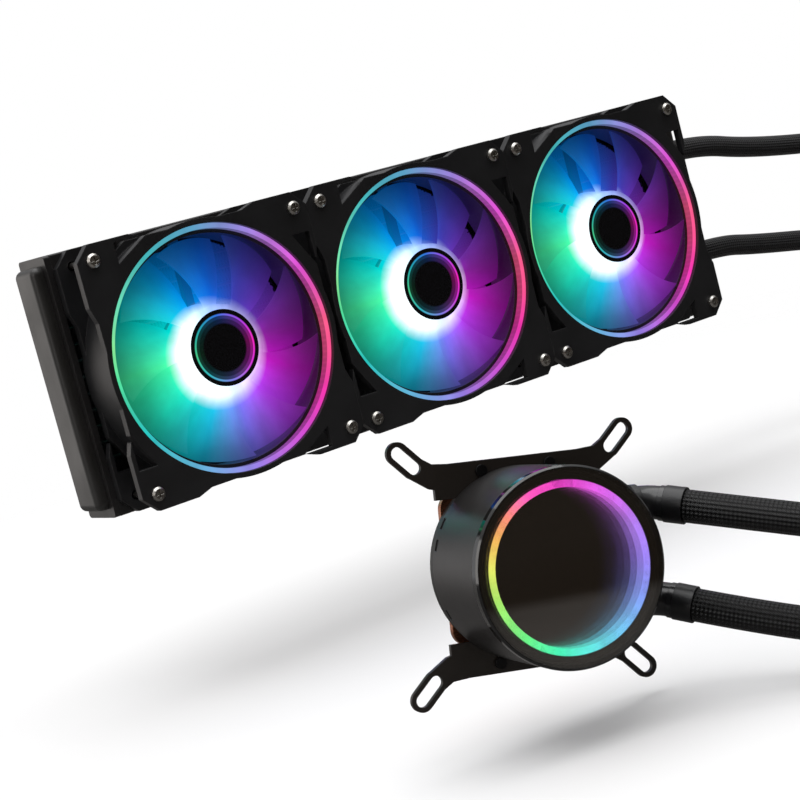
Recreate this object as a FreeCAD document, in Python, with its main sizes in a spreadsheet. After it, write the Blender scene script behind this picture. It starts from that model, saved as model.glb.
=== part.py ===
import FreeCAD, Part
import math
import os

import Sketcher

# An all in one liquid cooler for a processor: a 360 mm radiator with three ring-lit 120 mm fans, two
# sleeved hoses and a round pump head with an infinity mirror.
# Frame: +X along the radiator towards its ports, -Y out of the fans' faces, +Z up along its short side.
# The origin is the centre of the middle fan's screw pattern on the radiator's rear face. Millimetres.

SIZES = [
    ("row_angle", 90.0, "turns the face-up frame of the radiator and fans to face -Y, degrees"),
    ("fan_side", 120.0, "outside of a fan frame"),
    ("fan_depth", 25.0, "thickness of a fan frame"),
    ("hole_pitch", 105.0, "screw pattern of a 120 mm fan"),
    ("hole_r", 2.2, "fan screw hole"),
    ("flange_t", 4.0, "corner plate of a fan frame"),
    ("corner_cut", 7.0, "chamfer at a corner plate's tip"),
    ("plate_run", 27.0, "length of a corner plate along the frame's side"),
    ("side_sink", 2.4, "how far the frame's side falls back between its corner plates"),
    ("barrel_r", 59.0, "outside of the fan's barrel"),
    ("duct_r", 52.4, "fan duct"),
    ("ring_outer_r", 56.5, "outside of the lit ring"),
    ("ring_inner_r", 54.1, "inside of the lit ring"),
    ("ring_depth", 4.0, "depth of the lit ring"),
    ("seat_gap", 0.1, "clearance round the lit ring and the stators"),
    ("ring_set_back", 2.0, "front of the lit ring behind the corner plates"),
    ("motor_r", 21.0, "motor mount disc"),
    ("motor_t", 2.5, "motor mount disc thickness"),
    ("strut_w", 4.0, "strut between motor mount and barrel"),
    ("strut_t", 3.5, "strut depth"),
    ("tube_r", 4.6, "bearing tube outside"),
    ("bearing_r", 3.4, "fan bearing outside"),
    ("bearing_gap", 0.05, "clearance of a bearing in its tube"),
    ("bearing_top", 15.0, "front end of the fan bearing above the frame's rear"),
    ("shaft_r", 1.5, "fan shaft"),
    ("shaft_fit", 0.04, "radial running clearance of a fan shaft"),
    ("hub_front_r", 19.6, "fan hub at its front"),
    ("hub_rear_r", 21.6, "fan hub at its rear"),
    ("hub_front", 22.4, "front face of the fan hub above the frame's rear"),
    ("hub_rear", 5.0, "rear edge of the fan hub above the frame's rear"),
    ("hub_wall", 1.6, "wall of the fan hub"),
    ("cap_r", 17.4, "mirror cap on the fan hub"),
    ("cap_t", 1.0, "thickness of the mirror cap and the hub ring"),
    ("blade_count", 9, "fan blades"),
    ("blade_tip_r", 51.2, "tip circle of the fan blades"),
    ("blade_t", 1.5, "blade thickness"),
    ("blade_bow", 1.2, "camber of a blade"),
    ("blade_rear", 5.4, "trailing edge of a blade above the frame's rear"),
    ("blade_front", 19.6, "leading edge of a blade above the frame's rear"),
    ("blade_sweep_root", 38.0, "angle that a blade covers at the hub, degrees"),
    ("blade_sweep_tip", 42.0, "angle that a blade covers at its tip, degrees"),
    ("blade_lean", 14.0, "angle by which a blade's tip leads its root, degrees"),
    ("stator_r", 15.5, "fan motor stator"),
    ("stator_t", 7.0, "fan motor stator length"),
    ("stator_poles", 4, "fan motor poles"),
    ("screw_head_r", 3.2, "fan screw head"),
    ("screw_head_t", 2.3, "fan screw head height"),
    ("screw_r", 1.4, "fan screw shank"),
    ("screw_core_r", 1.2, "core of a fan screw's thread"),
    ("screw_reach", 4.0, "how far a fan screw goes into the radiator"),
    ("rad_depth", 27.0, "radiator thickness"),
    ("rad_side", 120.0, "radiator width"),
    ("fan_count", 3, "fans side by side"),
    ("tank_len", 16.0, "end tank with the ports, along the radiator"),
    ("return_len", 5.8, "return tank along the radiator"),
    ("return_set_back", 3.0, "return tank behind the header plate's faces"),
    ("return_drop", 4.0, "return tank short of the header plate's ends"),
    ("tank_wall", 1.6, "end tank wall"),
    ("tank_round", 3.5, "end tank edge radius"),
    ("header_t", 3.0, "header plate thickness"),
    ("header_lip", 0.8, "header plate standing proud of its tank"),
    ("rail_t", 1.2, "side rail sheet"),
    ("rail_flange", 11.5, "side rail flange carrying the screw holes"),
    ("rail_hole_r", 1.5, "threaded hole in a side rail's rear, M3"),
    ("thread_gap", 0.05, "clearance round a fan screw's thread in a side rail"),
    ("tube_count", 12, "flat water tubes"),
    ("tube_t", 1.8, "flat water tube thickness"),
    ("tube_depth", 18.0, "flat water tube depth"),
    ("tube_wall", 0.4, "flat water tube wall"),
    ("core_half", 49.6, "half height of the stack of tubes and fins"),
    ("fin_t", 0.3, "fin strip sheet"),
    ("fin_pleats", 24, "pleats drawn in each fin strip"),
    ("fin_crest", 2.0, "flat on a fin's crest"),
    ("port_z", 29.0, "height of a hose port above and below the radiator's middle"),
    ("hose_r", 5.8, "hose with its braided sleeve"),
    ("hose_bore_r", 3.6, "hose bore over a barb"),
    ("barb_r", 3.2, "barb stem"),
    ("barb_ridge_r", 3.5, "barb ridge"),
    ("barb_bore_r", 2.3, "way through a barb"),
    ("barb_len", 12.0, "barb inside the hose"),
    ("barb_ridges", 3, "ridges on a barb"),
    ("collar_r", 6.2, "collar that the hose stops against"),
    ("collar_t", 2.0, "collar thickness"),
    ("plug_z", 44.5, "height of the fill plug"),
    ("plug_r", 5.2, "fill plug"),
    ("plug_proud", 10.0, "fill plug standing out of the tank"),
    ("plug_stub_r", 3.7, "fill plug in the tank's wall"),
    ("plug_dome", 2.34, "rounding of the fill plug's cap"),
    ("pump_x", -151.9, "middle of the pump bracket's plane"),
    ("pump_y", -274.2, "middle of the pump bracket's plane"),
    ("pump_z", -86.7, "middle of the pump bracket's plane"),
    ("pump_yaw", -15.3, "pump head turned about the vertical, degrees"),
    ("pump_pitch", 10.4, "pump head tilted sideways, degrees"),
    ("pump_roll", -3.1, "pump head leaning back, degrees"),
    ("pump_r", 34.1, "pump housing and bezel"),
    ("pump_wall", 2.2, "pump housing wall"),
    ("pump_front", 41.8, "front of the pump's bezel above the bracket plane"),
    ("bezel_t", 3.6, "bezel height"),
    ("bezel_edge", 0.7, "bright chamfer of the bezel"),
    ("bezel_in_r", 33.2, "seat of the mirror glass in the bezel"),
    ("bezel_lip_r", 32.2, "clear opening of the bezel behind the glass"),
    ("glass_t", 1.4, "front mirror glass"),
    ("light_outer_r", 29.6, "pump ring light outside"),
    ("light_inner_r", 26.7, "pump ring light inside"),
    ("light_t", 5.0, "pump ring light height"),
    ("board_t", 1.6, "circuit board"),
    ("board_r", 31.2, "pump light board"),
    ("mirror_t", 1.0, "rear mirror"),
    ("ledge_r", 28.5, "clear opening of the ledge under the light board"),
    ("ledge_t", 1.5, "ledge under the light board"),
    ("notch_w", 4.0, "notch in the housing's rear edge"),
    ("notch_h", 3.2, "height of a rear notch"),
    ("notch_deep", 1.2, "depth of a rear notch"),
    ("port_gap", 0.1, "clearance round an elbow in the housing"),
    ("duct_x", 12.0, "where a water duct turns down into the impeller chamber"),
    ("duct_tube_r", 4.5, "water duct outside"),
    ("duct_end_x", 27.0, "where a water duct meets its elbow"),
    ("deck_r", 33.0, "pump deck under the housing"),
    ("deck_rear", -5.0, "rear of the pump deck"),
    ("deck_gap", 0.3, "gap between the deck's middle and the bracket bars"),
    ("lug_rim", 1.4, "material round a bracket screw in the deck"),
    ("screw_floor", 0.8, "material behind a bracket screw's hole"),
    ("housing_rear", 1.1, "rear edge of the pump housing"),
    ("plate_side", 54.0, "copper cold plate"),
    ("plate_t", 3.0, "cold plate thickness"),
    ("plate_round", 6.0, "cold plate corner"),
    ("plate_edge", 0.4, "chamfer round the cold plate's face"),
    ("microfin_count", 24, "fins on the cold plate"),
    ("microfin_side", 28.0, "finned field of the cold plate"),
    ("microfin_h", 2.2, "cold plate fin height"),
    ("jet_t", 1.0, "jet plate over the fins"),
    ("well_r", 22.0, "impeller chamber"),
    ("well_wall", 2.0, "wall round the impeller chamber"),
    ("chamber_top", 6.5, "front of the impeller chamber"),
    ("impeller_r", 12.0, "impeller"),
    ("impeller_rear", 0.0, "rear of the impeller"),
    ("impeller_disc", 1.4, "impeller disc"),
    ("vane_h", 3.4, "impeller vane height"),
    ("vane_count", 6, "impeller vanes"),
    ("magnet_r", 7.2, "impeller magnet"),
    ("magnet_h", 11.0, "impeller magnet height"),
    ("can_r", 8.4, "outside of the can over the magnet"),
    ("can_wall", 0.8, "can wall"),
    ("can_gap", 1.4, "between the magnet and the can's end"),
    ("lid_t", 1.4, "lid of the impeller chamber"),
    ("pin_r", 1.0, "ceramic pin that the impeller turns on"),
    ("pin_fit", 0.05, "radial running clearance on the ceramic pin"),
    ("coil_r", 15.4, "pump stator outside"),
    ("coil_h", 7.0, "pump stator height"),
    ("coil_poles", 6, "pump stator poles"),
    ("elbow_z", 18.0, "height of the ports on the pump"),
    ("elbow_y", 16.8, "ports above and below the pump's middle"),
    ("elbow_neck_x", 37.0, "end of the straight neck of an elbow"),
    ("elbow_r", 5.9, "elbow tube"),
    ("elbow_turn_r", 11.0, "bend of an elbow"),
    ("elbow_bend", 45.0, "turn of an elbow, degrees"),
    ("elbow_swivel_top", -15.0, "upper elbow turned about its neck, degrees"),
    ("elbow_swivel_low", -20.0, "lower elbow turned about its neck, degrees"),
    ("lead_top", 52.0, "straight lead of the upper hose from its elbow"),
    ("lead_low", 42.0, "straight lead of the lower hose from its elbow"),
    ("lead_port", 24.0, "straight lead of a hose into the radiator's port"),
    ("cuff_r", 6.5, "cuff over a hose's end"),
    ("cuff_len", 7.0, "cuff length"),
    ("cuff_gap", 0.1, "clearance between cuff and hose"),
    ("slot_half", 39.8, "bracket slot from the middle, each way"),
    ("slot_len", 12.5, "bracket slot length"),
    ("slot_w", 4.7, "bracket slot width"),
    ("slot_rim", 1.7, "metal round a bracket slot"),
    ("bracket_t", 2.0, "bracket sheet"),
    ("bar_out", 37.2, "outer edge of a bracket bar from the middle"),
    ("bar_in", 25.0, "inner edge of a bracket bar from the middle"),
    ("bar_half", 30.5, "half length of a bracket bar's straight"),
    ("bracket_screw_x", 12.9, "bracket screws either side"),
    ("bracket_screw_y", 33.6, "bracket screws from the middle"),
    ("bracket_screw_r", 1.3, "bracket screw shank"),
    ("bracket_head_r", 2.1, "bracket screw head"),
    ("bracket_head_t", 1.2, "bracket screw head height"),
]

# The hoses' routes are points chosen in the part's own frame, from the pump's elbow to the radiator's port.
# Each hose leaves its elbow and reaches its port along a straight lead, whose length is in the sheet.
ROUTE_UPPER = [
    (-48, -392, -112), (10, -400, -114), (66, -372, -106), (126, -322, -92), (188, -268, -74),
    (250, -216, -52), (314, -162, -28), (361, -112, -8), (360, -55, 4), (317, -17, 11), (262, -13.5, 19.5),
]
ROUTE_LOWER = [
    (-74, -382, -136), (-26, -404, -139), (30, -396, -140), (86, -358, -138), (142, -306, -131),
    (198, -252, -120), (250, -204, -104), (300, -160, -88), (343, -114, -71), (342, -57, -55),
    (300, -18, -43), (250, -13.5, -34.5),
]

doc = FreeCAD.newDocument("LiquidCooler")
dims = doc.addObject("Spreadsheet::Sheet", "Dim")
for line, (alias, value, note) in enumerate(SIZES, 1):
    dims.set(f"A{line}", note)
    dims.set(f"B{line}", str(value))
    dims.setAlias(f"B{line}", alias)
doc.recompute()

Vec = FreeCAD.Vector
Turn = FreeCAD.Rotation
X_AXIS = Vec(1, 0, 0)
Y_AXIS = Vec(0, 1, 0)
Z_AXIS = Vec(0, 0, 1)
nodes = {}


def size(text):
    """The value of an expression over the sheet's aliases, written as Dim.alias."""
    return float(dims.evalExpression(text))


def named(alias):
    return size("Dim." + alias)


class Place:
    """Where a group of sub-parts stands: three expressions for the place, and a fixed turn."""

    def __init__(self, x, y, z, turn):
        self.x = x
        self.y = y
        self.z = z
        self.turn = turn

    def placement(self):
        return FreeCAD.Placement(Vec(size(self.x), size(self.y), size(self.z)), self.turn)

    def put(self, thing):
        thing.Placement = self.placement()
        thing.setExpression("Placement.Base.x", self.x)
        thing.setExpression("Placement.Base.y", self.y)
        thing.setExpression("Placement.Base.z", self.z)


FACE_UP = Turn(X_AXIS, named("row_angle"))
RADIATOR = Place("0", "0", "0", FACE_UP)
PUMP = Place(
    "Dim.pump_x", "Dim.pump_y", "Dim.pump_z",
    Turn(named("pump_yaw"), named("pump_pitch"), named("pump_roll")).multiply(FACE_UP),
)


def fan_place(index):
    return Place(f"({index} - (Dim.fan_count - 1) / 2) * Dim.fan_side", "-Dim.rad_depth", "0", FACE_UP)


def keep(name, thing, place):
    """Name a finished sub-part, place it and list it for export."""
    thing.Label = name
    place.put(thing)
    nodes[name] = thing
    return thing


def new_body(name):
    return doc.addObject("PartDesign::Body", name)


def origin_item(body, role):
    return next(f for f in body.Origin.OriginFeatures if f.Role == role)


def new_sketch(body, name, plane="XY_Plane", rise=None):
    """A sketch on one of the body's own planes, lifted along its normal by an expression."""
    sketch = body.newObject("Sketcher::SketchObject", name)
    sketch.AttachmentSupport = (origin_item(body, plane), [""])
    sketch.MapMode = "FlatFace"
    if rise is not None:
        sketch.AttachmentOffset = FreeCAD.Placement(Vec(0, 0, size(rise)), Turn())
        sketch.setExpression("AttachmentOffset.Base.z", rise)
    return sketch


def pin_point(sketch, geo, pos, across, up):
    """Hold one point of a sketch by its distances from the origin."""
    for kind, text, axis in (("DistanceX", across, -2), ("DistanceY", up, -1)):
        if text == "0":
            sketch.addConstraint(Sketcher.Constraint("PointOnObject", geo, pos, axis))
        else:
            number = sketch.addConstraint(Sketcher.Constraint(kind, -1, 1, geo, pos, size(text)))
            sketch.setExpression(f"Constraints[{number}]", text)


def draw_outline(sketch, points):
    """A closed outline of straight lines through points given as pairs of expressions."""
    first = sketch.GeometryCount
    spots = [Vec(size(across), size(up), 0) for across, up in points]
    for start, end in zip(spots, spots[1:] + spots[:1]):
        sketch.addGeometry(Part.LineSegment(start, end), False)
    count = len(points)
    for step in range(count):
        after = first + (step + 1) % count
        sketch.addConstraint(Sketcher.Constraint("Coincident", first + step, 2, after, 1))
        pin_point(sketch, first + step, 1, *points[step])


def draw_box(sketch, left, right, low, high):
    draw_outline(sketch, [(left, low), (right, low), (right, high), (left, high)])


def draw_stadium(sketch, across, low, high, width):
    """An upright slot with round ends between two levels."""
    half = f"({width}) / 2"
    corners = [
        (f"{across} + {half}", f"{low} + {half}"), (f"{across} + {half}", f"{high} - {half}"),
        (f"{across} - {half}", f"{high} - {half}"), (f"{across} - {half}", f"{low} + {half}"),
    ]
    spots = [Vec(size(one), size(two), 0) for one, two in corners]
    first = sketch.GeometryCount
    for start, end in ((0, 1), (2, 3)):
        sketch.addGeometry(Part.LineSegment(spots[start], spots[end]), False)
    for middle, turn in (((spots[1] + spots[2]) / 2, 0.0), ((spots[3] + spots[0]) / 2, math.pi)):
        circle = Part.Circle(middle, Z_AXIS, size(half))
        sketch.addGeometry(Part.ArcOfCircle(circle, turn, turn + math.pi), False)
    upper = first + 2
    lower = first + 3
    for pair in ((first, 2, upper, 1), (upper, 2, first + 1, 1), (first + 1, 2, lower, 1), (lower, 2, first, 1)):
        sketch.addConstraint(Sketcher.Constraint("Coincident", *pair))
    for geo, pos, corner in ((first, 1, 0), (first, 2, 1), (first + 1, 1, 2), (first + 1, 2, 3)):
        pin_point(sketch, geo, pos, *corners[corner])
    for arc, level in ((upper, f"{high} - {half}"), (lower, f"{low} + {half}")):
        number = sketch.addConstraint(Sketcher.Constraint("DistanceY", -1, 1, arc, 3, size(level)))
        sketch.setExpression(f"Constraints[{number}]", level)


def draw_circle(sketch, radius, across="0", up="0"):
    geo = sketch.addGeometry(Part.Circle(Vec(size(across), size(up), 0), Z_AXIS, size(radius)), False)
    if across == "0" and up == "0":
        sketch.addConstraint(Sketcher.Constraint("Coincident", geo, 3, -1, 1))
    else:
        pin_point(sketch, geo, 3, across, up)
    number = sketch.addConstraint(Sketcher.Constraint("Radius", geo, size(radius)))
    sketch.setExpression(f"Constraints[{number}]", radius)


def pad(body, name, sketch, length):
    feature = body.newObject("PartDesign::Pad", name)
    feature.Profile = sketch
    feature.Length = size(length)
    feature.setExpression("Length", length)
    return feature


def pocket(body, name, sketch, length):
    """Cut from the sketch's plane towards its normal."""
    feature = body.newObject("PartDesign::Pocket", name)
    feature.Profile = sketch
    feature.Length = size(length)
    feature.setExpression("Length", length)
    feature.Reversed = True
    return feature


def ring_pad(body, name, outer, inner, rear, length):
    sketch = new_sketch(body, name + "Sketch", rise=rear)
    draw_circle(sketch, outer)
    if inner is not None:
        draw_circle(sketch, inner)
    return pad(body, name, sketch, length)


def line_up(body, name, feature, axis, length, count):
    pattern = body.newObject("PartDesign::LinearPattern", name)
    pattern.Originals = [feature]
    pattern.Direction = (origin_item(body, axis), [""])
    pattern.Length = size(length)
    pattern.setExpression("Length", length)
    pattern.Occurrences = int(size(count))
    pattern.setExpression("Occurrences", count)
    body.Tip = pattern
    return pattern


def eased(kind, body, name, feature, amount, wanted):
    """Round or chamfer the edges of a body's last feature that pass a test."""
    doc.recompute()
    edges = [f"Edge{number}" for number, edge in enumerate(feature.Shape.Edges, 1) if wanted(edge)]
    easing = body.newObject("PartDesign::" + kind, name)
    easing.Base = (feature, edges)
    setting = "Radius" if kind == "Fillet" else "Size"
    setattr(easing, setting, size(amount))
    easing.setExpression(setting, amount)
    return easing


def polar(body, name, feature, count):
    pattern = body.newObject("PartDesign::PolarPattern", name)
    pattern.Originals = [feature]
    pattern.Axis = (origin_item(body, "Z_Axis"), [""])
    pattern.Angle = 360
    pattern.Occurrences = int(size(count))
    pattern.setExpression("Occurrences", count)
    body.Tip = pattern
    return pattern


def revolved(name, profile, place):
    """A turned sub-part from an outline of radius and height expressions."""
    body = new_body(name)
    sketch = new_sketch(body, name + "Profile", "XZ_Plane")
    draw_outline(sketch, profile)
    turning = body.newObject("PartDesign::Revolution", name + "Turning")
    turning.Profile = sketch
    turning.ReferenceAxis = (sketch, ["V_Axis"])
    turning.Angle = 360
    return keep(name, body, place)


def ring(name, outer, inner, rear, length, place):
    body = new_body(name)
    ring_pad(body, name + "Pad", outer, inner, rear, length)
    return keep(name, body, place)


def settled(shape):
    """The same shape with its own move worked into its geometry, so that its Placement is free."""
    move = shape.Placement.toMatrix()
    still = shape.copy()
    still.Placement = FreeCAD.Placement()
    still.transformShape(move, True)
    return still


def plain(name, shape, place):
    """A sub-part whose shape is worked out here from the sheet's sizes."""
    thing = doc.addObject("Part::Feature", name)
    thing.Shape = settled(shape)
    return keep(name, thing, place)


def box(x0, x1, y0, y1, z0, z1):
    return Part.makeBox(x1 - x0, y1 - y0, z1 - z0, Vec(x0, y0, z0))


def rod(radius, start, end):
    return Part.makeCylinder(radius, (end - start).Length, start, end - start)


# Radiator


def flat_tube(length, depth, thick):
    """A bar along X with half-round front and rear edges, its middle at the origin."""
    reach = (depth - thick) / 2
    side = thick / 2
    start = -length / 2
    a = Vec(start, side, -reach)
    b = Vec(start, side, reach)
    c = Vec(start, -side, reach)
    d = Vec(start, -side, -reach)
    front = Part.Arc(b, Vec(start, 0, reach + side), c).toShape()
    rear = Part.Arc(d, Vec(start, 0, -reach - side), a).toShape()
    wire = Part.Wire([Part.makeLine(a, b), front, Part.makeLine(c, d), rear])
    return Part.Face(wire).extrude(Vec(length, 0, 0))


def tube_heights():
    count = int(named("tube_count"))
    pitch = 2 * named("core_half") / (count + 1)
    return [-named("core_half") + pitch * (step + 1) for step in range(count)]


def core_reach():
    """Half length of the radiator between its header plates."""
    return named("fan_count") * named("fan_side") / 2


def make_water_tubes():
    length = 2 * core_reach() + 2 * named("header_t")
    outer = flat_tube(length, named("tube_depth"), named("tube_t"))
    wall = 2 * named("tube_wall")
    tube = outer.cut(flat_tube(length, named("tube_depth") - wall, named("tube_t") - wall))
    middle = named("rad_depth") / 2
    return Part.makeCompound([tube.translated(Vec(0, up, middle)) for up in tube_heights()])


def pleated_strip(low, high, depth, middle):
    """A zigzag strip with flat crests, from one tube's face to the next."""
    pleats = int(named("fin_pleats"))
    reach = core_reach() - named("header_lip")
    pitch = 2 * reach / pleats
    crest = named("fin_crest")
    sheet = named("fin_t")
    line = []
    for step in range(pleats):
        start = -reach + pitch * step
        line += [(start, low), (start + crest, low), (start + pitch / 2, high), (start + pitch / 2 + crest, high)]
    line.append((reach, low))
    lower = [Vec(x, up, 0) for x, up in line]
    upper = [Vec(x, up + sheet, 0) for x, up in line]
    wire = Part.makePolygon(lower + upper[::-1] + lower[:1])
    strip = Part.Face(wire).extrude(Vec(0, 0, depth))
    return strip.translated(Vec(0, 0, middle - depth / 2))


def make_fin_strips():
    half = named("tube_t") / 2
    levels = [-named("core_half")] + tube_heights() + [named("core_half")]
    strips = []
    for step, (low, high) in enumerate(zip(levels, levels[1:])):
        bottom = low + (half if step else 0)
        top = high - (half if step < len(levels) - 2 else 0) - named("fin_t")
        strips.append(pleated_strip(bottom, top, named("tube_depth"), named("rad_depth") / 2))
    return Part.makeCompound(strips)


REACH = "(Dim.fan_count * Dim.fan_side / 2)"
HALF_SIDE = "(Dim.rad_side / 2)"
TUBE_PITCH = "(2 * Dim.core_half / (Dim.tube_count + 1))"


def make_header(name, start):
    """A header plate with a row of slots that the flat tubes end in."""
    body = new_body(name)
    sketch = new_sketch(body, name + "Sketch", "YZ_Plane", start)
    draw_box(sketch, "-" + HALF_SIDE, HALF_SIDE, "0", "Dim.rad_depth")
    plate = pad(body, name + "Plate", sketch, "Dim.header_t")
    eased("Fillet", body, name + "Round", plate, "Dim.tank_round / 2", lambda edge: abs(edge.tangentAt(0).x) > 0.9)
    slot = new_sketch(body, name + "SlotSketch", "YZ_Plane", start)
    low = "(Dim.rad_depth - Dim.tube_depth) / 2"
    draw_stadium(slot, f"-Dim.core_half + {TUBE_PITCH}", low, "(Dim.rad_depth + Dim.tube_depth) / 2", "Dim.tube_t")
    first = pocket(body, name + "Slot", slot, "Dim.header_t")
    line_up(body, name + "Slots", first, "Y_Axis", f"(Dim.tube_count - 1) * {TUBE_PITCH}", "Dim.tube_count")
    return keep(name, body, RADIATOR)


def tank_body(name, start, cavity, length, set_back, drop):
    """A rounded end tank, hollow and open towards its header plate."""
    body = new_body(name)
    outer = new_sketch(body, name + "Sketch", "YZ_Plane", start)
    half = f"({HALF_SIDE} - {drop})"
    draw_box(outer, "-" + half, half, set_back, f"Dim.rad_depth - {set_back}")
    block = pad(body, name + "Block", outer, length)
    joint = min(size(start), size(f"{start} + {length}"), key=abs)
    eased("Fillet", body, name + "Round", block, "Dim.tank_round", lambda e: abs(e.CenterOfMass.x - joint) > 0.01)
    inner = new_sketch(body, name + "CavitySketch", "YZ_Plane", cavity)
    wall = "Dim.tank_wall"
    draw_box(inner, f"{wall} - {half}", f"{half} - {wall}", f"{set_back} + {wall}", f"Dim.rad_depth - {set_back} - {wall}")
    pocket(body, name + "Cavity", inner, f"{length} - {wall}")
    return body


def make_tank_return():
    start = f"-{REACH} - Dim.header_t - Dim.return_len"
    body = tank_body(
        "end_tank_return", start, f"{start} + Dim.tank_wall", "Dim.return_len", "Dim.return_set_back", "Dim.return_drop",
    )
    return keep("end_tank_return", body, RADIATOR)


def make_tank_ports():
    """The tank with the ports, split inside by a wall so that the water goes there and back."""
    start = f"{REACH} + Dim.header_t"
    lip = "Dim.header_lip"
    body = tank_body("end_tank_ports", start, start, "Dim.tank_len", lip, lip)
    split = new_sketch(body, "SplitWallSketch", "YZ_Plane", start)
    inside = f"({lip} + Dim.tank_wall / 2)"
    draw_box(split, "-Dim.tank_wall / 2", "Dim.tank_wall / 2", inside, f"Dim.rad_depth - {inside}")
    pad(body, "SplitWall", split, "Dim.tank_len - Dim.tank_wall / 2")
    bores = new_sketch(body, "PortSketch", "YZ_Plane", start)
    middle = "Dim.rad_depth / 2"
    draw_circle(bores, "Dim.barb_r", "Dim.port_z", middle)
    draw_circle(bores, "Dim.barb_r", "-Dim.port_z", middle)
    draw_circle(bores, "Dim.plug_stub_r", "Dim.plug_z", middle)
    pocket(body, "Ports", bores, "Dim.tank_len")
    return keep("end_tank_ports", body, RADIATOR)


def make_barb(stem_back, length):
    """A hollow barb along +X: its collar starts at the origin, and its stem reaches back from it."""
    collar = named("collar_t")
    ridge = named("barb_ridge_r")
    stem = named("barb_r")
    brim = named("collar_r")
    profile = [Vec(-stem_back, 0, stem), Vec(0, 0, stem), Vec(0, 0, brim), Vec(collar, 0, brim), Vec(collar, 0, stem)]
    ridges = int(named("barb_ridges"))
    pitch = length / (ridges + 0.5)
    for step in range(ridges):
        start = collar + pitch * (step + 0.5)
        profile += [Vec(start, 0, stem), Vec(start, 0, ridge), Vec(start + pitch * 0.8, 0, stem)]
    profile += [Vec(collar + length, 0, stem), Vec(collar + length, 0, named("barb_bore_r"))]
    profile.append(Vec(-stem_back, 0, named("barb_bore_r")))
    face = Part.Face(Part.makePolygon(profile + profile[:1]))
    return face.revolve(Vec(0, 0, 0), X_AXIS, 360)


TANK_END = f"{REACH} + Dim.header_t + Dim.tank_len"


def port_place(height):
    """On the ports' tank, with +Z of the piece pointing out along the radiator."""
    return Place(TANK_END, "-Dim.rad_depth / 2", height, Turn(Y_AXIS, 90))


def barb_profile():
    """Outline of a hollow barb about Z: its collar starts at 0, and its stem reaches back into the wall."""
    back = "-Dim.tank_wall"
    collar = "Dim.collar_t"
    pitch = "(Dim.barb_len / (Dim.barb_ridges + 0.5))"
    profile = [("Dim.barb_bore_r", back), ("Dim.barb_r", back), ("Dim.barb_r", "0"), ("Dim.collar_r", "0")]
    profile += [("Dim.collar_r", collar), ("Dim.barb_r", collar)]
    for step in range(int(named("barb_ridges"))):
        start = f"{collar} + {pitch} * ({step} + 0.5)"
        profile += [("Dim.barb_r", start), ("Dim.barb_ridge_r", start), ("Dim.barb_r", f"{start} + {pitch} * 0.8")]
    tip = f"{collar} + Dim.barb_len"
    return profile + [("Dim.barb_r", tip), ("Dim.barb_bore_r", tip)]


def make_fill_plug():
    """A soft plug with a domed cap on the tank, over its stub in the wall."""
    name = "fill_plug"
    body = new_body(name)
    ring_pad(body, "PlugStub", "Dim.plug_stub_r", None, "-Dim.tank_wall", "Dim.tank_wall + Dim.plug_dome / 2")
    cap = ring_pad(body, "PlugCap", "Dim.plug_r", None, "0", "Dim.plug_proud")
    top = size("Dim.plug_proud")
    eased("Fillet", body, "PlugDome", cap, "Dim.plug_dome", lambda edge: abs(edge.BoundBox.ZMin - top) < 0.01)
    return keep(name, body, port_place("Dim.plug_z"))


def fan_centres():
    count = int(named("fan_count"))
    return [(step - (count - 1) / 2) * named("fan_side") for step in range(count)]


def make_rail(name, sign):
    """A boxed channel along the core: two flanges with the fans' screw holes, and a closed spine between."""
    body = new_body(name)
    sheet = "Dim.rail_t"
    depth = "Dim.rad_depth"
    tip = f"{HALF_SIDE} - Dim.rail_flange"
    seat = "Dim.core_half"
    outline = [(tip, "0"), (HALF_SIDE, "0"), (HALF_SIDE, depth), (tip, depth), (tip, f"{depth} - {sheet}")]
    outline += [(seat, f"{depth} - {sheet}"), (seat, sheet), (tip, sheet)]
    hollow = [(f"{seat} + {sheet}", sheet), (f"{HALF_SIDE} - {sheet}", sheet)]
    hollow += [(across, f"{depth} - {sheet}") for across, _ in hollow[::-1]]
    section = new_sketch(body, name + "Section", "YZ_Plane", "-" + REACH)
    for wire in (outline, hollow):
        draw_outline(section, [(f"{sign}({across})", up) for across, up in wire])
    channel = pad(body, name + "Channel", section, "2 * " + REACH)
    edge = size(HALF_SIDE)
    eased("Fillet", body, name + "Round", channel, "Dim.rail_t * 0.8", lambda e: (
        abs(e.tangentAt(0).x) > 0.9 and abs(abs(e.CenterOfMass.y) - edge) < 0.01
    ))
    thread = "Dim.screw_core_r + Dim.thread_gap"
    for label, rise, radius in (("Rear", "0", "Dim.rail_hole_r"), ("Front", f"{depth} - {sheet}", thread)):
        holes = new_sketch(body, name + label + "HoleSketch", rise=rise)
        for number in range(int(named("fan_count"))):
            for step in ("-", "+"):
                across = f"({number} - (Dim.fan_count - 1) / 2) * Dim.fan_side {step} Dim.hole_pitch / 2"
                draw_circle(holes, radius, across, f"{sign}(Dim.hole_pitch / 2)")
        pocket(body, name + label + "Holes", holes, sheet)
    return keep(name, body, RADIATOR)


def make_radiator():
    plain("water_tubes", make_water_tubes(), RADIATOR)
    plain("fin_strips", make_fin_strips(), RADIATOR)
    make_header("header_plate_left", f"-{REACH} - Dim.header_t")
    make_header("header_plate_right", REACH)
    make_tank_return()
    make_tank_ports()
    make_rail("side_rail_top", "")
    make_rail("side_rail_bottom", "-")
    revolved("radiator_barb_upper", barb_profile(), port_place("Dim.port_z"))
    revolved("radiator_barb_lower", barb_profile(), port_place("-Dim.port_z"))
    make_fill_plug()


# Fans


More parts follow.
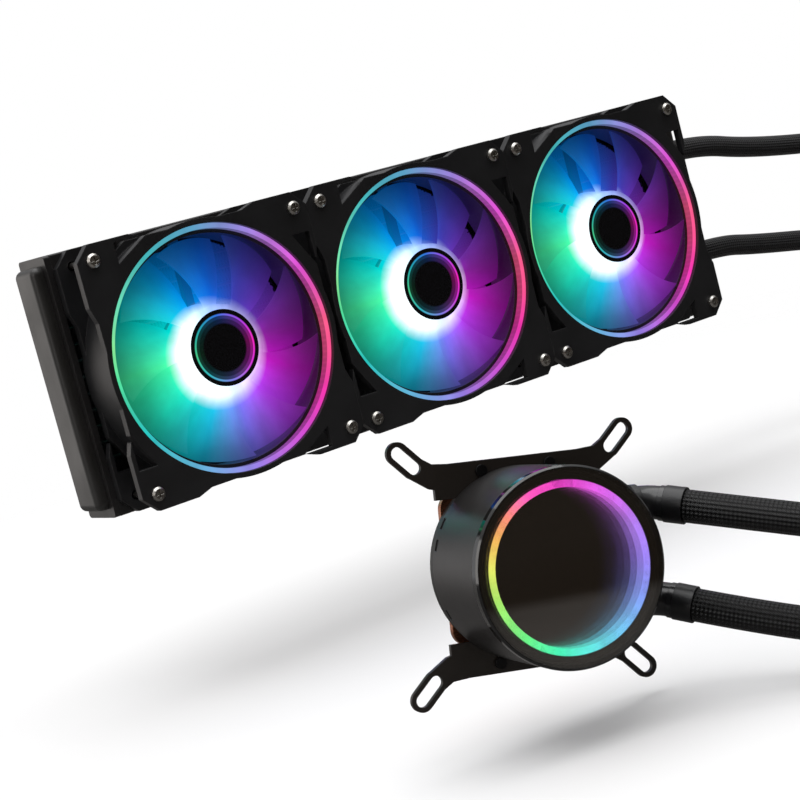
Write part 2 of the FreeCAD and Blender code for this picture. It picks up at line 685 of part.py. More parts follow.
def frame_outline():
    """Outline of the frame's corner plates: a square with cut corners and sides that sink between them."""
    half = "Dim.fan_side / 2"
    cut = f"({half} - Dim.corner_cut)"
    run = f"({half} - Dim.plate_run)"
    sunk = f"({half} - Dim.side_sink)"
    side = [(half, f"-{cut}"), (half, f"-{run}"), (sunk, f"-{run} + 3 * Dim.side_sink")]
    side += [(sunk, f"{run} - 3 * Dim.side_sink"), (half, run), (half, cut)]
    turned = []
    for quarter in range(4):
        for across, up in side:
            for _ in range(quarter):
                across, up = f"-({up})", across
            turned.append((across, up))
    return turned


def make_fan_frame(name, place):
    body = new_body(name)
    outline = frame_outline()
    for label, rear in (("RearPlates", "0"), ("FrontPlates", "Dim.fan_depth - Dim.flange_t")):
        sketch = new_sketch(body, name + label + "Sketch", rise=rear)
        draw_outline(sketch, outline)
        pad(body, name + label, sketch, "Dim.flange_t")
    ring_pad(body, name + "Barrel", "Dim.barrel_r", None, "0", "Dim.fan_depth")
    duct = new_sketch(body, name + "DuctSketch", rise="0")
    draw_circle(duct, "Dim.duct_r")
    pocket(body, name + "Duct", duct, "Dim.fan_depth")
    seat = new_sketch(body, name + "SeatSketch", rise="Dim.fan_depth - Dim.ring_set_back - Dim.ring_depth")
    draw_circle(seat, "Dim.ring_outer_r")
    pocket(body, name + "Seat", seat, "Dim.ring_depth + Dim.ring_set_back")
    hole = new_sketch(body, name + "HoleSketch", rise="0")
    draw_circle(hole, "Dim.hole_r", "Dim.hole_pitch / 2", "Dim.hole_pitch / 2")
    drilled = pocket(body, name + "Hole", hole, "Dim.fan_depth")
    polar(body, name + "Holes", drilled, "4")
    window = new_sketch(body, name + "WindowSketch", rise="0")
    near = "Dim.fan_side / 2 - 2"
    corner = "Dim.fan_side / 2 - Dim.plate_run * 0.72"
    draw_outline(window, [(near, "Dim.side_sink * 10"), (near, corner), ("Dim.barrel_r * 0.82", corner)])
    opened = pocket(body, name + "Window", window, "Dim.fan_depth")
    polar(body, name + "Windows", opened, "4")
    ring_pad(body, name + "MotorMount", "Dim.motor_r", None, "0", "Dim.motor_t")
    ring_pad(body, name + "BearingTube", "Dim.tube_r", None, "0", "Dim.bearing_top")
    strut = new_sketch(body, name + "StrutSketch", rise="0")
    half = "Dim.strut_w / 2"
    reach = "Dim.duct_r + 1"
    draw_box(strut, "Dim.motor_r - 2", reach, "-" + half, half)
    polar(body, name + "Struts", pad(body, name + "Strut", strut, "Dim.strut_t"), "4")
    bore = new_sketch(body, name + "BoreSketch", rise="Dim.motor_t / 2")
    draw_circle(bore, "Dim.bearing_r + Dim.bearing_gap")
    pocket(body, name + "Bore", bore, "Dim.bearing_top")
    return keep(name, body, place)


def blade_section(distance, middle_angle, sweep, thick):
    """A blade's bowed section in the plane that stands across its radius."""
    outward = Vec(math.cos(middle_angle), math.sin(middle_angle), 0)
    along = Vec(-math.sin(middle_angle), math.cos(middle_angle), 0)
    half = distance * math.tan(sweep / 2)
    rear = named("blade_rear")
    rise = named("blade_front") - rear
    bow = named("blade_bow")
    spots = [(-half, 0), (0, rise / 2 + bow), (half, rise)]
    low = [outward * distance + along * across + Z_AXIS * (rear + up) for across, up in spots]
    high = [spot + Z_AXIS * thick for spot in low]
    under = Part.Arc(*low).toShape()
    over = Part.Arc(*high[::-1]).toShape()
    return Part.Wire([under, Part.makeLine(low[-1], high[-1]), over, Part.makeLine(high[0], low[0])])


def make_blade():
    """One swept blade, lofted from inside the hub's wall to beyond the tip circle and trimmed there."""
    stations = 4
    root = named("hub_front_r") - 2 * named("hub_wall")
    tip = named("blade_tip_r")
    sections = []
    for step in range(stations):
        share = step / (stations - 1)
        distance = root + (tip - root) * share
        lean = math.radians(named("blade_lean") * share ** 1.5)
        sweep = named("blade_sweep_root") + (named("blade_sweep_tip") - named("blade_sweep_root")) * share
        thick = named("blade_t") * (1.1 - 0.35 * share)
        sections.append(blade_section(distance, lean, math.radians(sweep), thick))
    whole = Part.makeLoft(sections, True, False)
    return whole.common(rod(tip, Vec(0, 0, 0), Vec(0, 0, named("fan_depth"))))


def make_rotor():
    """The hub, a tapered cup open to the rear, with its blades."""
    front = named("hub_front")
    rear = named("hub_rear")
    wall = named("hub_wall")
    profile = [Vec(0, 0, front), Vec(named("hub_front_r"), 0, front), Vec(named("hub_rear_r"), 0, rear)]
    profile += [Vec(named("hub_rear_r") - wall, 0, rear), Vec(named("hub_front_r") - wall, 0, front - wall)]
    profile.append(Vec(0, 0, front - wall))
    hub = Part.Face(Part.makePolygon(profile + profile[:1])).revolve(Vec(0, 0, 0), Z_AXIS, 360)
    count = int(named("blade_count"))
    blade = make_blade()
    blades = [blade.rotated(Vec(0, 0, 0), Z_AXIS, 360 * step / count) for step in range(count)]
    hollow = Part.Face(Part.makePolygon([
        Vec(0, 0, rear - 5), Vec(named("hub_rear_r") - wall, 0, rear - 5), Vec(named("hub_rear_r") - wall, 0, rear),
        Vec(named("hub_front_r") - wall, 0, front - wall), Vec(0, 0, front - wall), Vec(0, 0, rear - 5),
    ])).revolve(Vec(0, 0, 0), Z_AXIS, 360)
    rotor = hub.fuse([blade.cut(hollow) for blade in blades])
    boss = rod(3.0, Vec(0, 0, front - wall - 2), Vec(0, 0, front - wall))
    rotor = rotor.fuse(boss)
    return rotor.cut(rod(named("shaft_r"), Vec(0, 0, front - wall - 3), Vec(0, 0, front - wall))).removeSplitter()


def make_stator(outer, inner, rear, height, poles):
    """A laminated stator: a ring round the middle with wound poles."""
    core = inner + (outer - inner) * 0.35
    ring_shape = rod(core, Vec(0, 0, rear), Vec(0, 0, rear + height))
    width = outer * 0.45
    arms = []
    for step in range(poles):
        angle = 360 * step / poles
        arm = box(inner, outer * 0.9, -width / 4, width / 4, rear, rear + height)
        coil = box(core + 0.4, outer * 0.82, -width / 2, width / 2, rear - 0.6, rear + height + 0.6)
        shoe = rod(outer, Vec(0, 0, rear), Vec(0, 0, rear + height))
        shoe = shoe.cut(rod(outer * 0.88, Vec(0, 0, rear - 1), Vec(0, 0, rear + height + 1)))
        shoe = shoe.common(box(0, outer + 1, -outer * 0.42, outer * 0.42, rear - 1, rear + height + 1))
        arms += [part.rotated(Vec(0, 0, 0), Z_AXIS, angle) for part in (arm, coil, shoe)]
    whole = ring_shape.fuse(arms)
    return whole.cut(rod(inner, Vec(0, 0, rear - 2), Vec(0, 0, rear + height + 2))).removeSplitter()


def make_fan(index, word):
    place = fan_place(index)
    name = f"fan_{word}_"
    make_fan_frame(name + "frame", place)
    ring(
        name + "light_ring", "Dim.ring_outer_r - Dim.seat_gap", "Dim.ring_inner_r",
        "Dim.fan_depth - Dim.ring_set_back - Dim.ring_depth", "Dim.ring_depth", place,
    )
    plain(name + "rotor", make_rotor(), place)
    ring(name + "hub_mirror", "Dim.cap_r", None, "Dim.hub_front", "Dim.cap_t", place)
    ring(name + "hub_ring", "Dim.hub_front_r", "Dim.cap_r", "Dim.hub_front", "Dim.cap_t", place)
    ring(
        name + "shaft", "Dim.shaft_r", None, "Dim.motor_t + 0.5",
        "Dim.hub_front - Dim.hub_wall - Dim.motor_t - 0.5", place,
    )
    ring(
        name + "bearing", "Dim.bearing_r", "Dim.shaft_r + Dim.shaft_fit", "Dim.motor_t / 2",
        "Dim.bearing_top - Dim.motor_t / 2", place,
    )
    stator = make_stator(
        named("stator_r"), named("tube_r") + named("seat_gap"), named("hub_rear") + 1.2, named("stator_t"),
        int(named("stator_poles")),
    )
    plain(name + "stator", stator, place)


def make_fan_screws():
    """Twelve pan-head screws through the frames' corners into the side rails."""
    head_r = named("screw_head_r")
    seat = named("rad_depth") + named("fan_depth")
    rise = named("screw_head_t")
    head = rod(head_r, Vec(0, 0, seat), Vec(0, 0, seat + rise))
    head = head.makeChamfer(rise * 0.4, [e for e in head.Edges if abs(e.CenterOfMass.z - seat - rise) < 0.01])
    for angle in (0, 90):
        slot = box(-head_r * 0.55, head_r * 0.55, -0.4, 0.4, seat + rise * 0.45, seat + rise + 1)
        head = head.cut(slot.rotated(Vec(0, 0, 0), Z_AXIS, angle))
    face = named("rad_depth")
    shank = rod(named("screw_r"), Vec(0, 0, face), Vec(0, 0, seat + rise * 0.2))
    thread = rod(named("screw_core_r"), Vec(0, 0, face - named("screw_reach")), Vec(0, 0, face + named("screw_r")))
    screw = head.fuse([shank, thread]).removeSplitter()
    up = named("hole_pitch") / 2
    spots = [Vec(centre + dx, dy, 0) for centre in fan_centres() for dx in (-up, up) for dy in (-up, up)]
    return Part.makeCompound([screw.translated(spot) for spot in spots])


# Pump head

# Where the notches stand round the housing's rear edge, in degrees.
NOTCH_ANGLES = (150, 163, 205)


def make_housing():
    """A cup with a ledge for the light board, ports for the elbows and notches in its rear edge."""
    name = "pump_housing"
    body = new_body(name)
    front = "(Dim.pump_front - Dim.bezel_t)"
    ring_pad(body, "HousingWall", "Dim.pump_r", "Dim.pump_r - Dim.pump_wall", "Dim.housing_rear", f"{front} - Dim.housing_rear")
    seat = "Dim.pump_front - Dim.glass_t - Dim.light_t - Dim.mirror_t - Dim.board_t"
    ring_pad(body, "Ledge", "Dim.pump_r - Dim.pump_wall / 2", "Dim.ledge_r", f"{seat} - Dim.ledge_t", "Dim.ledge_t")
    notches = new_sketch(body, "NotchSketch", rise="Dim.housing_rear")
    for angle in NOTCH_ANGLES:
        corners = []
        for reach, aside in (("-Dim.notch_deep", "-"), ("1", "-"), ("1", "+"), ("-Dim.notch_deep", "+")):
            out = f"(Dim.pump_r + {reach})"
            corners.append((
                f"{out} * cos({angle} deg) - {aside}Dim.notch_w / 2 * sin({angle} deg)",
                f"{out} * sin({angle} deg) + {aside}Dim.notch_w / 2 * cos({angle} deg)",
            ))
        draw_outline(notches, corners)
    pocket(body, "Notches", notches, "Dim.notch_h")
    ports = new_sketch(body, "ElbowPortSketch", "YZ_Plane")
    for sign in ("", "-"):
        draw_circle(ports, "Dim.elbow_r + Dim.port_gap", f"{sign}Dim.elbow_y", "Dim.elbow_z")
    pocket(body, "ElbowPorts", ports, "Dim.pump_r")
    return keep(name, body, PUMP)


def bracket_screw_spots():
    """Where the bracket screws stand, as pairs of expressions."""
    return [(f"{one}Dim.bracket_screw_x", f"{two}Dim.bracket_screw_y") for one in ("", "-") for two in ("", "-")]


def make_deck():
    """The moulded deck: the seat of the brackets, the screw lugs and the wall round the impeller chamber."""
    name = "pump_deck"
    body = new_body(name)
    rear = "Dim.deck_rear"
    seat = "-Dim.bracket_t / 2"
    ring_pad(body, "DeckMiddle", "Dim.deck_r - 0.5", None, rear, f"Dim.housing_rear - {rear}")
    sides = new_sketch(body, "BarSeatSketch", rise=seat)
    inner = "(Dim.bar_in - Dim.deck_gap)"
    draw_box(sides, "-Dim.deck_r", "Dim.deck_r", inner, "Dim.deck_r")
    draw_box(sides, "-Dim.deck_r", "Dim.deck_r", "-Dim.deck_r", f"-{inner}")
    pocket(body, "BarSeats", sides, "Dim.pump_wall + Dim.bracket_t")
    ring_pad(body, "DeckBase", "Dim.deck_r", None, rear, f"{seat} - {rear}")
    ring_pad(body, "ChamberWall", "Dim.well_r + Dim.well_wall", None, rear, f"Dim.chamber_top - {rear}")
    lugs = new_sketch(body, "LugSketch", rise=rear)
    holes = new_sketch(body, "ScrewHoleSketch", rise=f"{rear} + Dim.screw_floor")
    for across, up in bracket_screw_spots():
        draw_circle(lugs, "Dim.bracket_head_r + Dim.lug_rim", across, up)
        draw_circle(holes, "Dim.bracket_screw_r", across, up)
    pad(body, "Lugs", lugs, f"{seat} - {rear}")
    well = new_sketch(body, "WellSketch", rise=rear)
    draw_circle(well, "Dim.well_r")
    pocket(body, "Well", well, f"Dim.chamber_top - {rear}")
    pocket(body, "ScrewHoles", holes, f"-{rear}")
    return keep(name, body, PUMP)


def make_can():
    """The lid of the impeller chamber, drawn up into a thin can over the magnet."""
    base = named("chamber_top")
    top = magnet_top() + named("can_gap")
    wall = named("can_wall")
    lid = rod(named("well_r") + named("well_wall"), Vec(0, 0, base), Vec(0, 0, base + named("lid_t")))
    can = rod(named("can_r"), Vec(0, 0, base), Vec(0, 0, top + wall))
    can = lid.fuse(can).cut(rod(named("can_r") - wall, Vec(0, 0, base - 1), Vec(0, 0, top)))
    can = can.cut(rod(named("pin_r"), Vec(0, 0, top - 1), Vec(0, 0, top + wall / 2)))
    outer = named("duct_tube_r")
    bore = named("barb_bore_r")
    for side in (-1, 1):
        foot = Vec(named("duct_x"), side * named("elbow_y"), base)
        knee = Vec(foot.x, foot.y, named("elbow_z"))
        mouth = Vec(named("duct_end_x"), foot.y, knee.z)
        duct = rod(outer, foot, knee).fuse([rod(outer, knee, mouth), Part.makeSphere(outer, knee)])
        bored = rod(bore, foot - Z_AXIS, knee).fuse([rod(bore, knee, mouth + X_AXIS), Part.makeSphere(bore, knee)])
        can = can.fuse(duct).cut(bored)
    return can.removeSplitter()


def magnet_top():
    return named("impeller_rear") + named("impeller_disc") + named("vane_h") + named("magnet_h")


def make_impeller():
    """A disc with curved vanes on its rear face and the magnet that drives it on its front."""
    rear = named("impeller_rear")
    disc_rear = rear + named("vane_h")
    disc_front = disc_rear + named("impeller_disc")
    radius = named("impeller_r")
    shape = rod(radius, Vec(0, 0, disc_rear), Vec(0, 0, disc_front))
    shape = shape.fuse(rod(named("magnet_r"), Vec(0, 0, disc_front - 0.2), Vec(0, 0, magnet_top())))
    shape = shape.fuse(rod(3.2, Vec(0, 0, rear), Vec(0, 0, disc_rear + 0.2)))
    bend_r = radius * 0.75
    centre = Vec(radius * 0.55, bend_r * 0.86, rear)
    vane = rod(bend_r + 0.5, centre, centre + Z_AXIS * (named("vane_h") + 0.2))
    vane = vane.cut(rod(bend_r - 0.5, centre - Z_AXIS, centre + Z_AXIS * (named("vane_h") + 2)))
    vane = vane.common(rod(radius, Vec(0, 0, rear), Vec(0, 0, disc_front)))
    vane = vane.common(box(1.5, radius, -radius, bend_r * 0.5, rear, disc_front))
    count = int(named("vane_count"))
    shape = shape.fuse([vane.rotated(Vec(0, 0, 0), Z_AXIS, 360 * step / count) for step in range(count)])
    bore = named("pin_r") + named("pin_fit")
    return shape.cut(rod(bore, Vec(0, 0, rear - 1), Vec(0, 0, magnet_top() + 1))).removeSplitter()


def make_cold_plate():
    """The copper plate, with a field of fine fins on its wet side."""
    name = "cold_plate"
    body = new_body(name)
    rear = "(Dim.deck_rear - Dim.plate_t)"
    half = "Dim.plate_side / 2"
    outline = new_sketch(body, "PlateSketch", rise=rear)
    draw_box(outline, "-" + half, half, "-" + half, half)
    plate = pad(body, "Plate", outline, "Dim.plate_t")
    rounded = eased("Fillet", body, "PlateRound", plate, "Dim.plate_round", lambda e: abs(e.tangentAt(0).z) > 0.9)
    low = size(rear)
    eased("Chamfer", body, "PlateEdge", rounded, "Dim.plate_edge", lambda e: abs(e.BoundBox.ZMax - low) < 0.01)
    pitch = "(Dim.microfin_side / Dim.microfin_count)"
    field = "Dim.microfin_side / 2"
    first = new_sketch(body, "FinSketch", rise="Dim.deck_rear")
    draw_box(first, "-" + field, field, f"-{field} + {pitch} / 4", f"-{field} + {pitch} * 3 / 4")
    fin = pad(body, "Fin", first, "Dim.microfin_h")
    line_up(body, "Fins", fin, "Y_Axis", f"(Dim.microfin_count - 1) * {pitch}", "Dim.microfin_count")
    return keep(name, body, PUMP)


def make_jet_plate():
    """The plate over the fins, which sends the water through a slot down their middle."""
    rear = named("deck_rear") + named("microfin_h")
    plate = rod(named("well_r") - 0.1, Vec(0, 0, rear), Vec(0, 0, rear + named("jet_t")))
    slot = box(-1.0, 1.0, -named("microfin_side") / 2, named("microfin_side") / 2, rear - 1, rear + 3)
    rib = rod(named("pin_r") + 2.4, Vec(0, 0, rear), Vec(0, 0, rear + named("jet_t")))
    skirt = rod(named("well_r") - 0.1, Vec(0, 0, named("deck_rear")), Vec(0, 0, rear))
    skirt = skirt.cut(rod(named("well_r") - 1.1, Vec(0, 0, named("deck_rear") - 1), Vec(0, 0, rear)))
    foot = skirt.cut(box(-12, 12, -40, 40, named("deck_rear") - 1, rear - 1))
    return plate.cut(slot).fuse([rib, foot]).removeSplitter()


def bracket_outline_upper():
    """The upper bar with its two slotted arms, before its slots are cut."""
    rim_r = named("slot_w") / 2 + named("slot_rim")
    half = named("slot_half")
    reach = (named("slot_len") - named("slot_w")) / 2 / math.sqrt(2)
    thick = named("bracket_t")
    bar = box(-named("bar_half"), named("bar_half"), named("bar_in"), named("bar_out"), -thick / 2, thick / 2)
    shape = bar
    for side in (-1, 1):
        inner = Vec(side * (half - reach), half - reach, -thick / 2)
        outer = Vec(side * (half + reach), half + reach, -thick / 2)
        shape = shape.fuse([loop_shape(inner, outer, rim_r, thick), arm_shape(side, inner, rim_r, thick)])
    return shape.removeSplitter()


def loop_shape(start, end, radius, thick):
    """A flat stadium between two points."""
    along = (end - start).normalize()
    across = Vec(-along.y, along.x, 0) * radius
    corners = [start + across, end + across, end - across, start - across]
    strip = Part.Face(Part.makePolygon(corners + corners[:1])).extrude(Z_AXIS * thick)
    caps = [Part.makeCylinder(radius, thick, spot, Z_AXIS) for spot in (start, end)]
    return strip.fuse(caps)


def arm_shape(side, loop_start, radius, thick):
    """The neck from the bar to a slotted end, waisted on its inner side."""
    low = named("bar_in") + 3.6
    high = named("bar_out")
    diagonal = radius / math.sqrt(2)
    start = named("bar_half") - 6
    points = [
        Vec(side * start, low - 1.6, 0), Vec(side * (named("bar_half") + 1.8), low + 0.6, 0),
        Vec(loop_start.x + side * diagonal, loop_start.y - diagonal, 0),
        Vec(loop_start.x - side * diagonal, loop_start.y + diagonal, 0),
        Vec(side * (named("bar_half") + 0.2), high + 0.5, 0), Vec(side * start, high, 0),
    ]
    points = [Vec(p.x, p.y, -thick / 2) for p in points]
    return Part.Face(Part.makePolygon(points + points[:1])).extrude(Z_AXIS * thick)


def make_bracket(side):
    thick = named("bracket_t")
    shape = bracket_outline_upper()
    half = named("slot_half")
    reach = (named("slot_len") - named("slot_w")) / 2 / math.sqrt(2)
    for sign in (-1, 1):
        inner = Vec(sign * (half - reach), half - reach, -thick)
        outer = Vec(sign * (half + reach), half + reach, -thick)
        shape = shape.cut(loop_shape(inner, outer, named("slot_w") / 2, 2 * thick))
        spot = Vec(sign * named("bracket_screw_x"), named("bracket_screw_y"), -thick)
        shape = shape.cut(rod(named("bracket_screw_r") + 0.2, spot, spot + Z_AXIS * 2 * thick))
    return shape if side > 0 else shape.rotated(Vec(0, 0, 0), X_AXIS, 180)


def make_bracket_screws():
    half = named("bracket_t") / 2
    screws = []
    for side_x in (-1, 1):
        for side_y in (-1, 1):
            spot = Vec(side_x * named("bracket_screw_x"), side_y * named("bracket_screw_y"), 0)
            tip = spot + Z_AXIS * (named("deck_rear") + 1)
            under = spot + Z_AXIS * half
            shank = rod(named("bracket_screw_r"), tip, under + Z_AXIS * 0.2)
            head = rod(named("bracket_head_r"), under, under + Z_AXIS * named("bracket_head_t"))
            clear = rod(named("pump_r") + 0.15, Vec(0, 0, named("housing_rear") - 0.15), Vec(0, 0, 10))
            screws.append(shank.fuse(head).cut(clear).removeSplitter())
    return Part.makeCompound(screws)


def swivel(alias):
    return math.radians(named(alias))


def elbow_frame(side, alias):
    """The middle of an elbow's outlet, its direction and the plane of its bend."""
    bend = math.radians(named("elbow_bend"))
    aside = Vec(0, math.sin(swivel(alias)), math.cos(swivel(alias)))
    knee = Vec(named("elbow_neck_x"), side * named("elbow_y"), named("elbow_z"))
    turn_r = named("elbow_turn_r")
    end = knee + X_AXIS * turn_r * math.sin(bend) + aside * turn_r * (1 - math.cos(bend))
    middle = knee + X_AXIS * turn_r * math.sin(bend / 2) + aside * turn_r * (1 - math.cos(bend / 2))
    out = X_AXIS * math.cos(bend) + aside * math.sin(bend)
    return knee, middle, end, out


def make_elbow(side, alias):
    """A neck through the housing's wall, a bend and the barb that the hose goes over."""
    knee, middle, end, out = elbow_frame(side, alias)
    start = Vec(named("duct_end_x"), knee.y, knee.z)
    spine = Part.Wire([Part.makeLine(start, knee), Part.Arc(knee, middle, end).toShape()])

    def tube(radius):
        circle = Part.Wire(Part.makeCircle(radius, start, X_AXIS))
        return spine.makePipeShell([circle], True, False)

    barb = make_barb(0, named("barb_len"))
    barb.Placement = FreeCAD.Placement(end, Turn(X_AXIS, out))
    ridge = rod(named("elbow_r") + 0.7, knee - X_AXIS * 2.6, knee - X_AXIS * 0.2)
    bored = tube(named("elbow_r")).fuse(ridge).cut(tube(named("barb_bore_r")))
    return bored.fuse(barb).removeSplitter()


def make_pump():
    make_housing()
    make_deck()
    plain("chamber_lid", make_can(), PUMP)
    plain("impeller", make_impeller(), PUMP)
    pin_rear = "(Dim.deck_rear + Dim.microfin_h + Dim.jet_t)"
    magnet_end = "Dim.impeller_rear + Dim.impeller_disc + Dim.vane_h + Dim.magnet_h"
    pin_length = f"{magnet_end} + Dim.can_gap + Dim.can_wall / 2 - {pin_rear}"
    ring("impeller_pin", "Dim.pin_r", None, pin_rear, pin_length, PUMP)
    coil_rear = named("chamber_top") + 2.2
    coil_bore = named("can_r") + named("seat_gap")
    coil = make_stator(named("coil_r"), coil_bore, coil_rear, named("coil_h"), int(named("coil_poles")))
    plain("pump_stator", coil, PUMP)
    make_cold_plate()
    plain("jet_plate", make_jet_plate(), PUMP)
    plain("bracket_upper", make_bracket(1), PUMP)
    plain("bracket_lower", make_bracket(-1), PUMP)
    plain("bracket_screws", make_bracket_screws(), PUMP)
    front = "Dim.pump_front"
    glass_rear = "(Dim.pump_front - Dim.glass_t)"
    bezel_rear = "(Dim.pump_front - Dim.bezel_t)"
    edge = "Dim.bezel_edge"
    revolved("pump_bezel", [
        ("Dim.bezel_lip_r", bezel_rear), ("Dim.pump_r", bezel_rear), ("Dim.pump_r", f"{front} - {edge}"),
        (f"Dim.pump_r - {edge}", front), ("Dim.bezel_in_r", front), ("Dim.bezel_in_r", glass_rear),
        ("Dim.bezel_lip_r", glass_rear),
    ], PUMP)
    ring("mirror_glass", "Dim.bezel_in_r - 0.05", None, glass_rear, "Dim.glass_t", PUMP)
    light_rear = f"{glass_rear} - Dim.light_t"
    ring("pump_ring_light", "Dim.light_outer_r", "Dim.light_inner_r", light_rear, "Dim.light_t", PUMP)
    mirror_rear = f"({glass_rear} - Dim.light_t - Dim.mirror_t)"
    ring("rear_mirror", "Dim.light_outer_r", None, mirror_rear, "Dim.mirror_t", PUMP)
    ring("light_board", "Dim.board_r", None, f"{mirror_rear} - Dim.board_t", "Dim.board_t", PUMP)
    plain("elbow_upper", make_elbow(1, "elbow_swivel_top"), PUMP)
    plain("elbow_lower", make_elbow(-1, "elbow_swivel_low"), PUMP)


# Hoses


def arc_path(points):
    """Straight runs joined by tangent arcs as large as the runs allow."""
    edges = []
    radii = []
    last = points[0]
    for before, corner, after in zip(points, points[1:], points[2:]):
        back = (before - corner).normalize()
        ahead = (after - corner).normalize()
        half_turn = (math.pi - back.getAngle(ahead)) / 2
        cut = 0.45 * min((before - corner).Length, (after - corner).Length)
        radius = cut / math.tan(half_turn)
        radii.append(round(radius, 1))
        inward = (back + ahead).normalize()
        bow = radius / math.cos(half_turn) - radius
        start = corner + back * cut
        end = corner + ahead * cut
        edges.append(Part.makeLine(last, start))
        edges.append(Part.Arc(start, corner + inward * bow, end).toShape())
        last = end
    edges.append(Part.makeLine(last, points[-1]))
    return Part.Wire(edges), radii


def outlet(side, alias):
    """Where a hose meets its elbow's collar, and which way it leaves, in the part's own frame."""
    knee, middle, end, out = elbow_frame(side, alias)
    home = PUMP.placement()
    start = home.multVec(end + out * named("collar_t"))
    return start, home.Rotation.multVec(out)


def make_hose(name, side, alias, lead, route):
    start, out = outlet(side, alias)
    finish = Vec(size(TANK_END) + named("collar_t"), -named("rad_depth") / 2, side * named("port_z"))
    points = [start, start + out * named(lead)] + [Vec(*spot) for spot in route]
    points += [finish + X_AXIS * named("lead_port"), finish]
    path, radii = arc_path(points)
    circle = Part.Wire(Part.makeCircle(named("hose_r"), start, (points[1] - points[0]).normalize()))
    hose = path.makePipeShell([circle], True, False)
    expected = math.pi * named("hose_r") ** 2 * path.Length
    print(name, "length", round(path.Length, 1), "radii", radii, "volume ratio", round(hose.Volume / expected, 5))
    if abs(hose.Volume / expected - 1) > 0.01:
        raise ValueError(name + " has the wrong volume")
    deep = named("barb_len") + 0.3
    print(name, "points", [tuple(round(v, 2) for v in spot) for spot in points])
    for mouth, way in ((start, out), (finish, X_AXIS)):
        hose = hose.cut(rod(named("hose_bore_r"), mouth - way, mouth + way * deep))
    thing = doc.addObject("Part::Feature", name)
    thing.Shape = hose
    thing.Label = name
    nodes[name] = thing


def make_cuff(name, side, alias):
    """A short cuff crimped over the hose's end at the pump."""
    knee, middle, end, out = elbow_frame(side, alias)
    start = end + out * named("collar_t")
    bore = named("hose_r") + named("cuff_gap")
    cuff = rod(named("cuff_r"), start, start + out * named("cuff_len"))
    plain(name, cuff.cut(rod(bore, start - out, start + out * (named("cuff_len") + 1))), PUMP)


def check_and_export():
    doc.recompute()
    for thing in doc.Objects:
        if "Invalid" in thing.State or "Error" in thing.State:
            raise ValueError(thing.Name + " failed: " + ", ".join(thing.State))
    os.makedirs("parts", exist_ok=True)
    for name, thing in nodes.items():
        shape = thing.Shape
        if shape.isNull() or not shape.isValid() or not shape.Solids:
            raise ValueError(name + " has no valid shape")
    for name, thing in nodes.items():
        thing.Shape.exportStep(f"parts/{name}.step")
    print(len(nodes), "sub-parts written")


make_radiator()
for number, place_word in enumerate(("left", "middle", "right")):
    make_fan(number, place_word)
plain("fan_screws", make_fan_screws(), RADIATOR)
make_pump()
make_hose("hose_upper", 1, "elbow_swivel_top", "lead_top", ROUTE_UPPER)
make_hose("hose_lower", -1, "elbow_swivel_low", "lead_low", ROUTE_LOWER)
make_cuff("cuff_upper", 1, "elbow_swivel_top")
make_cuff("cuff_lower", -1, "elbow_swivel_low")
check_and_export()
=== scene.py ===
# Liquid cooler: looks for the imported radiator, fans, hoses and pump head. Metres, in the row frame.

import math

import bmesh
import bpy
from mathutils import Matrix, Vector


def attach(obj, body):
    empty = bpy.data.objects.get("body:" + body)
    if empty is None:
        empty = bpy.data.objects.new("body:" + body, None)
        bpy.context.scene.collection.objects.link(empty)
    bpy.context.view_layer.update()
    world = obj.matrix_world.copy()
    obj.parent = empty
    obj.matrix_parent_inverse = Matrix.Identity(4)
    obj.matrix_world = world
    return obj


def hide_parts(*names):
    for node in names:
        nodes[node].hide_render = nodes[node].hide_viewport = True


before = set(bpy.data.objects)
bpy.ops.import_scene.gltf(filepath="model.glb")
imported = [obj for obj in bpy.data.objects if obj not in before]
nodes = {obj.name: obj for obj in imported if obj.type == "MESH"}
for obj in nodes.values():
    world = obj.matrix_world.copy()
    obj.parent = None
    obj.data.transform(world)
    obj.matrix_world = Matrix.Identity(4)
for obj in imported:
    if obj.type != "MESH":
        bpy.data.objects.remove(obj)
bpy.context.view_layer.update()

# The fans: their names along +X, their pitch, and how far their hubs' fronts stand before the rear face

FAN_NAMES = ("left", "middle", "right")
FAN_PITCH = 0.12
HUB_FRONT = 0.0494

# The middle of the pump's front, and its directions to the right and up

PUMP_AT = Vector((-0.1519, -0.2742, -0.0867))
PUMP_RIGHT = Vector((0.9488, -0.2594, -0.1805))
PUMP_UP = Vector((0.1878, 0.0037, 0.9822))

# Camera

CAMERA_AT = (-0.5470, -0.8194, 0.0541)
camera_data = bpy.data.cameras.new("camera")
camera_data.sensor_width = 36.0
camera_data.lens = 87.92
camera_data.clip_start = 0.02
camera_data.clip_end = 60.0
camera = bpy.data.objects.new("camera", camera_data)
bpy.context.scene.collection.objects.link(camera)
camera_turn = Matrix((
    (0.78986, 0.27122, -0.55005),
    (-0.55852, -0.05234, -0.82784),
    (-0.25332, 0.96109, 0.11014),
)).to_4x4()
camera.matrix_world = Matrix.Translation(CAMERA_AT) @ camera_turn
bpy.context.scene.camera = camera


# Node material helpers


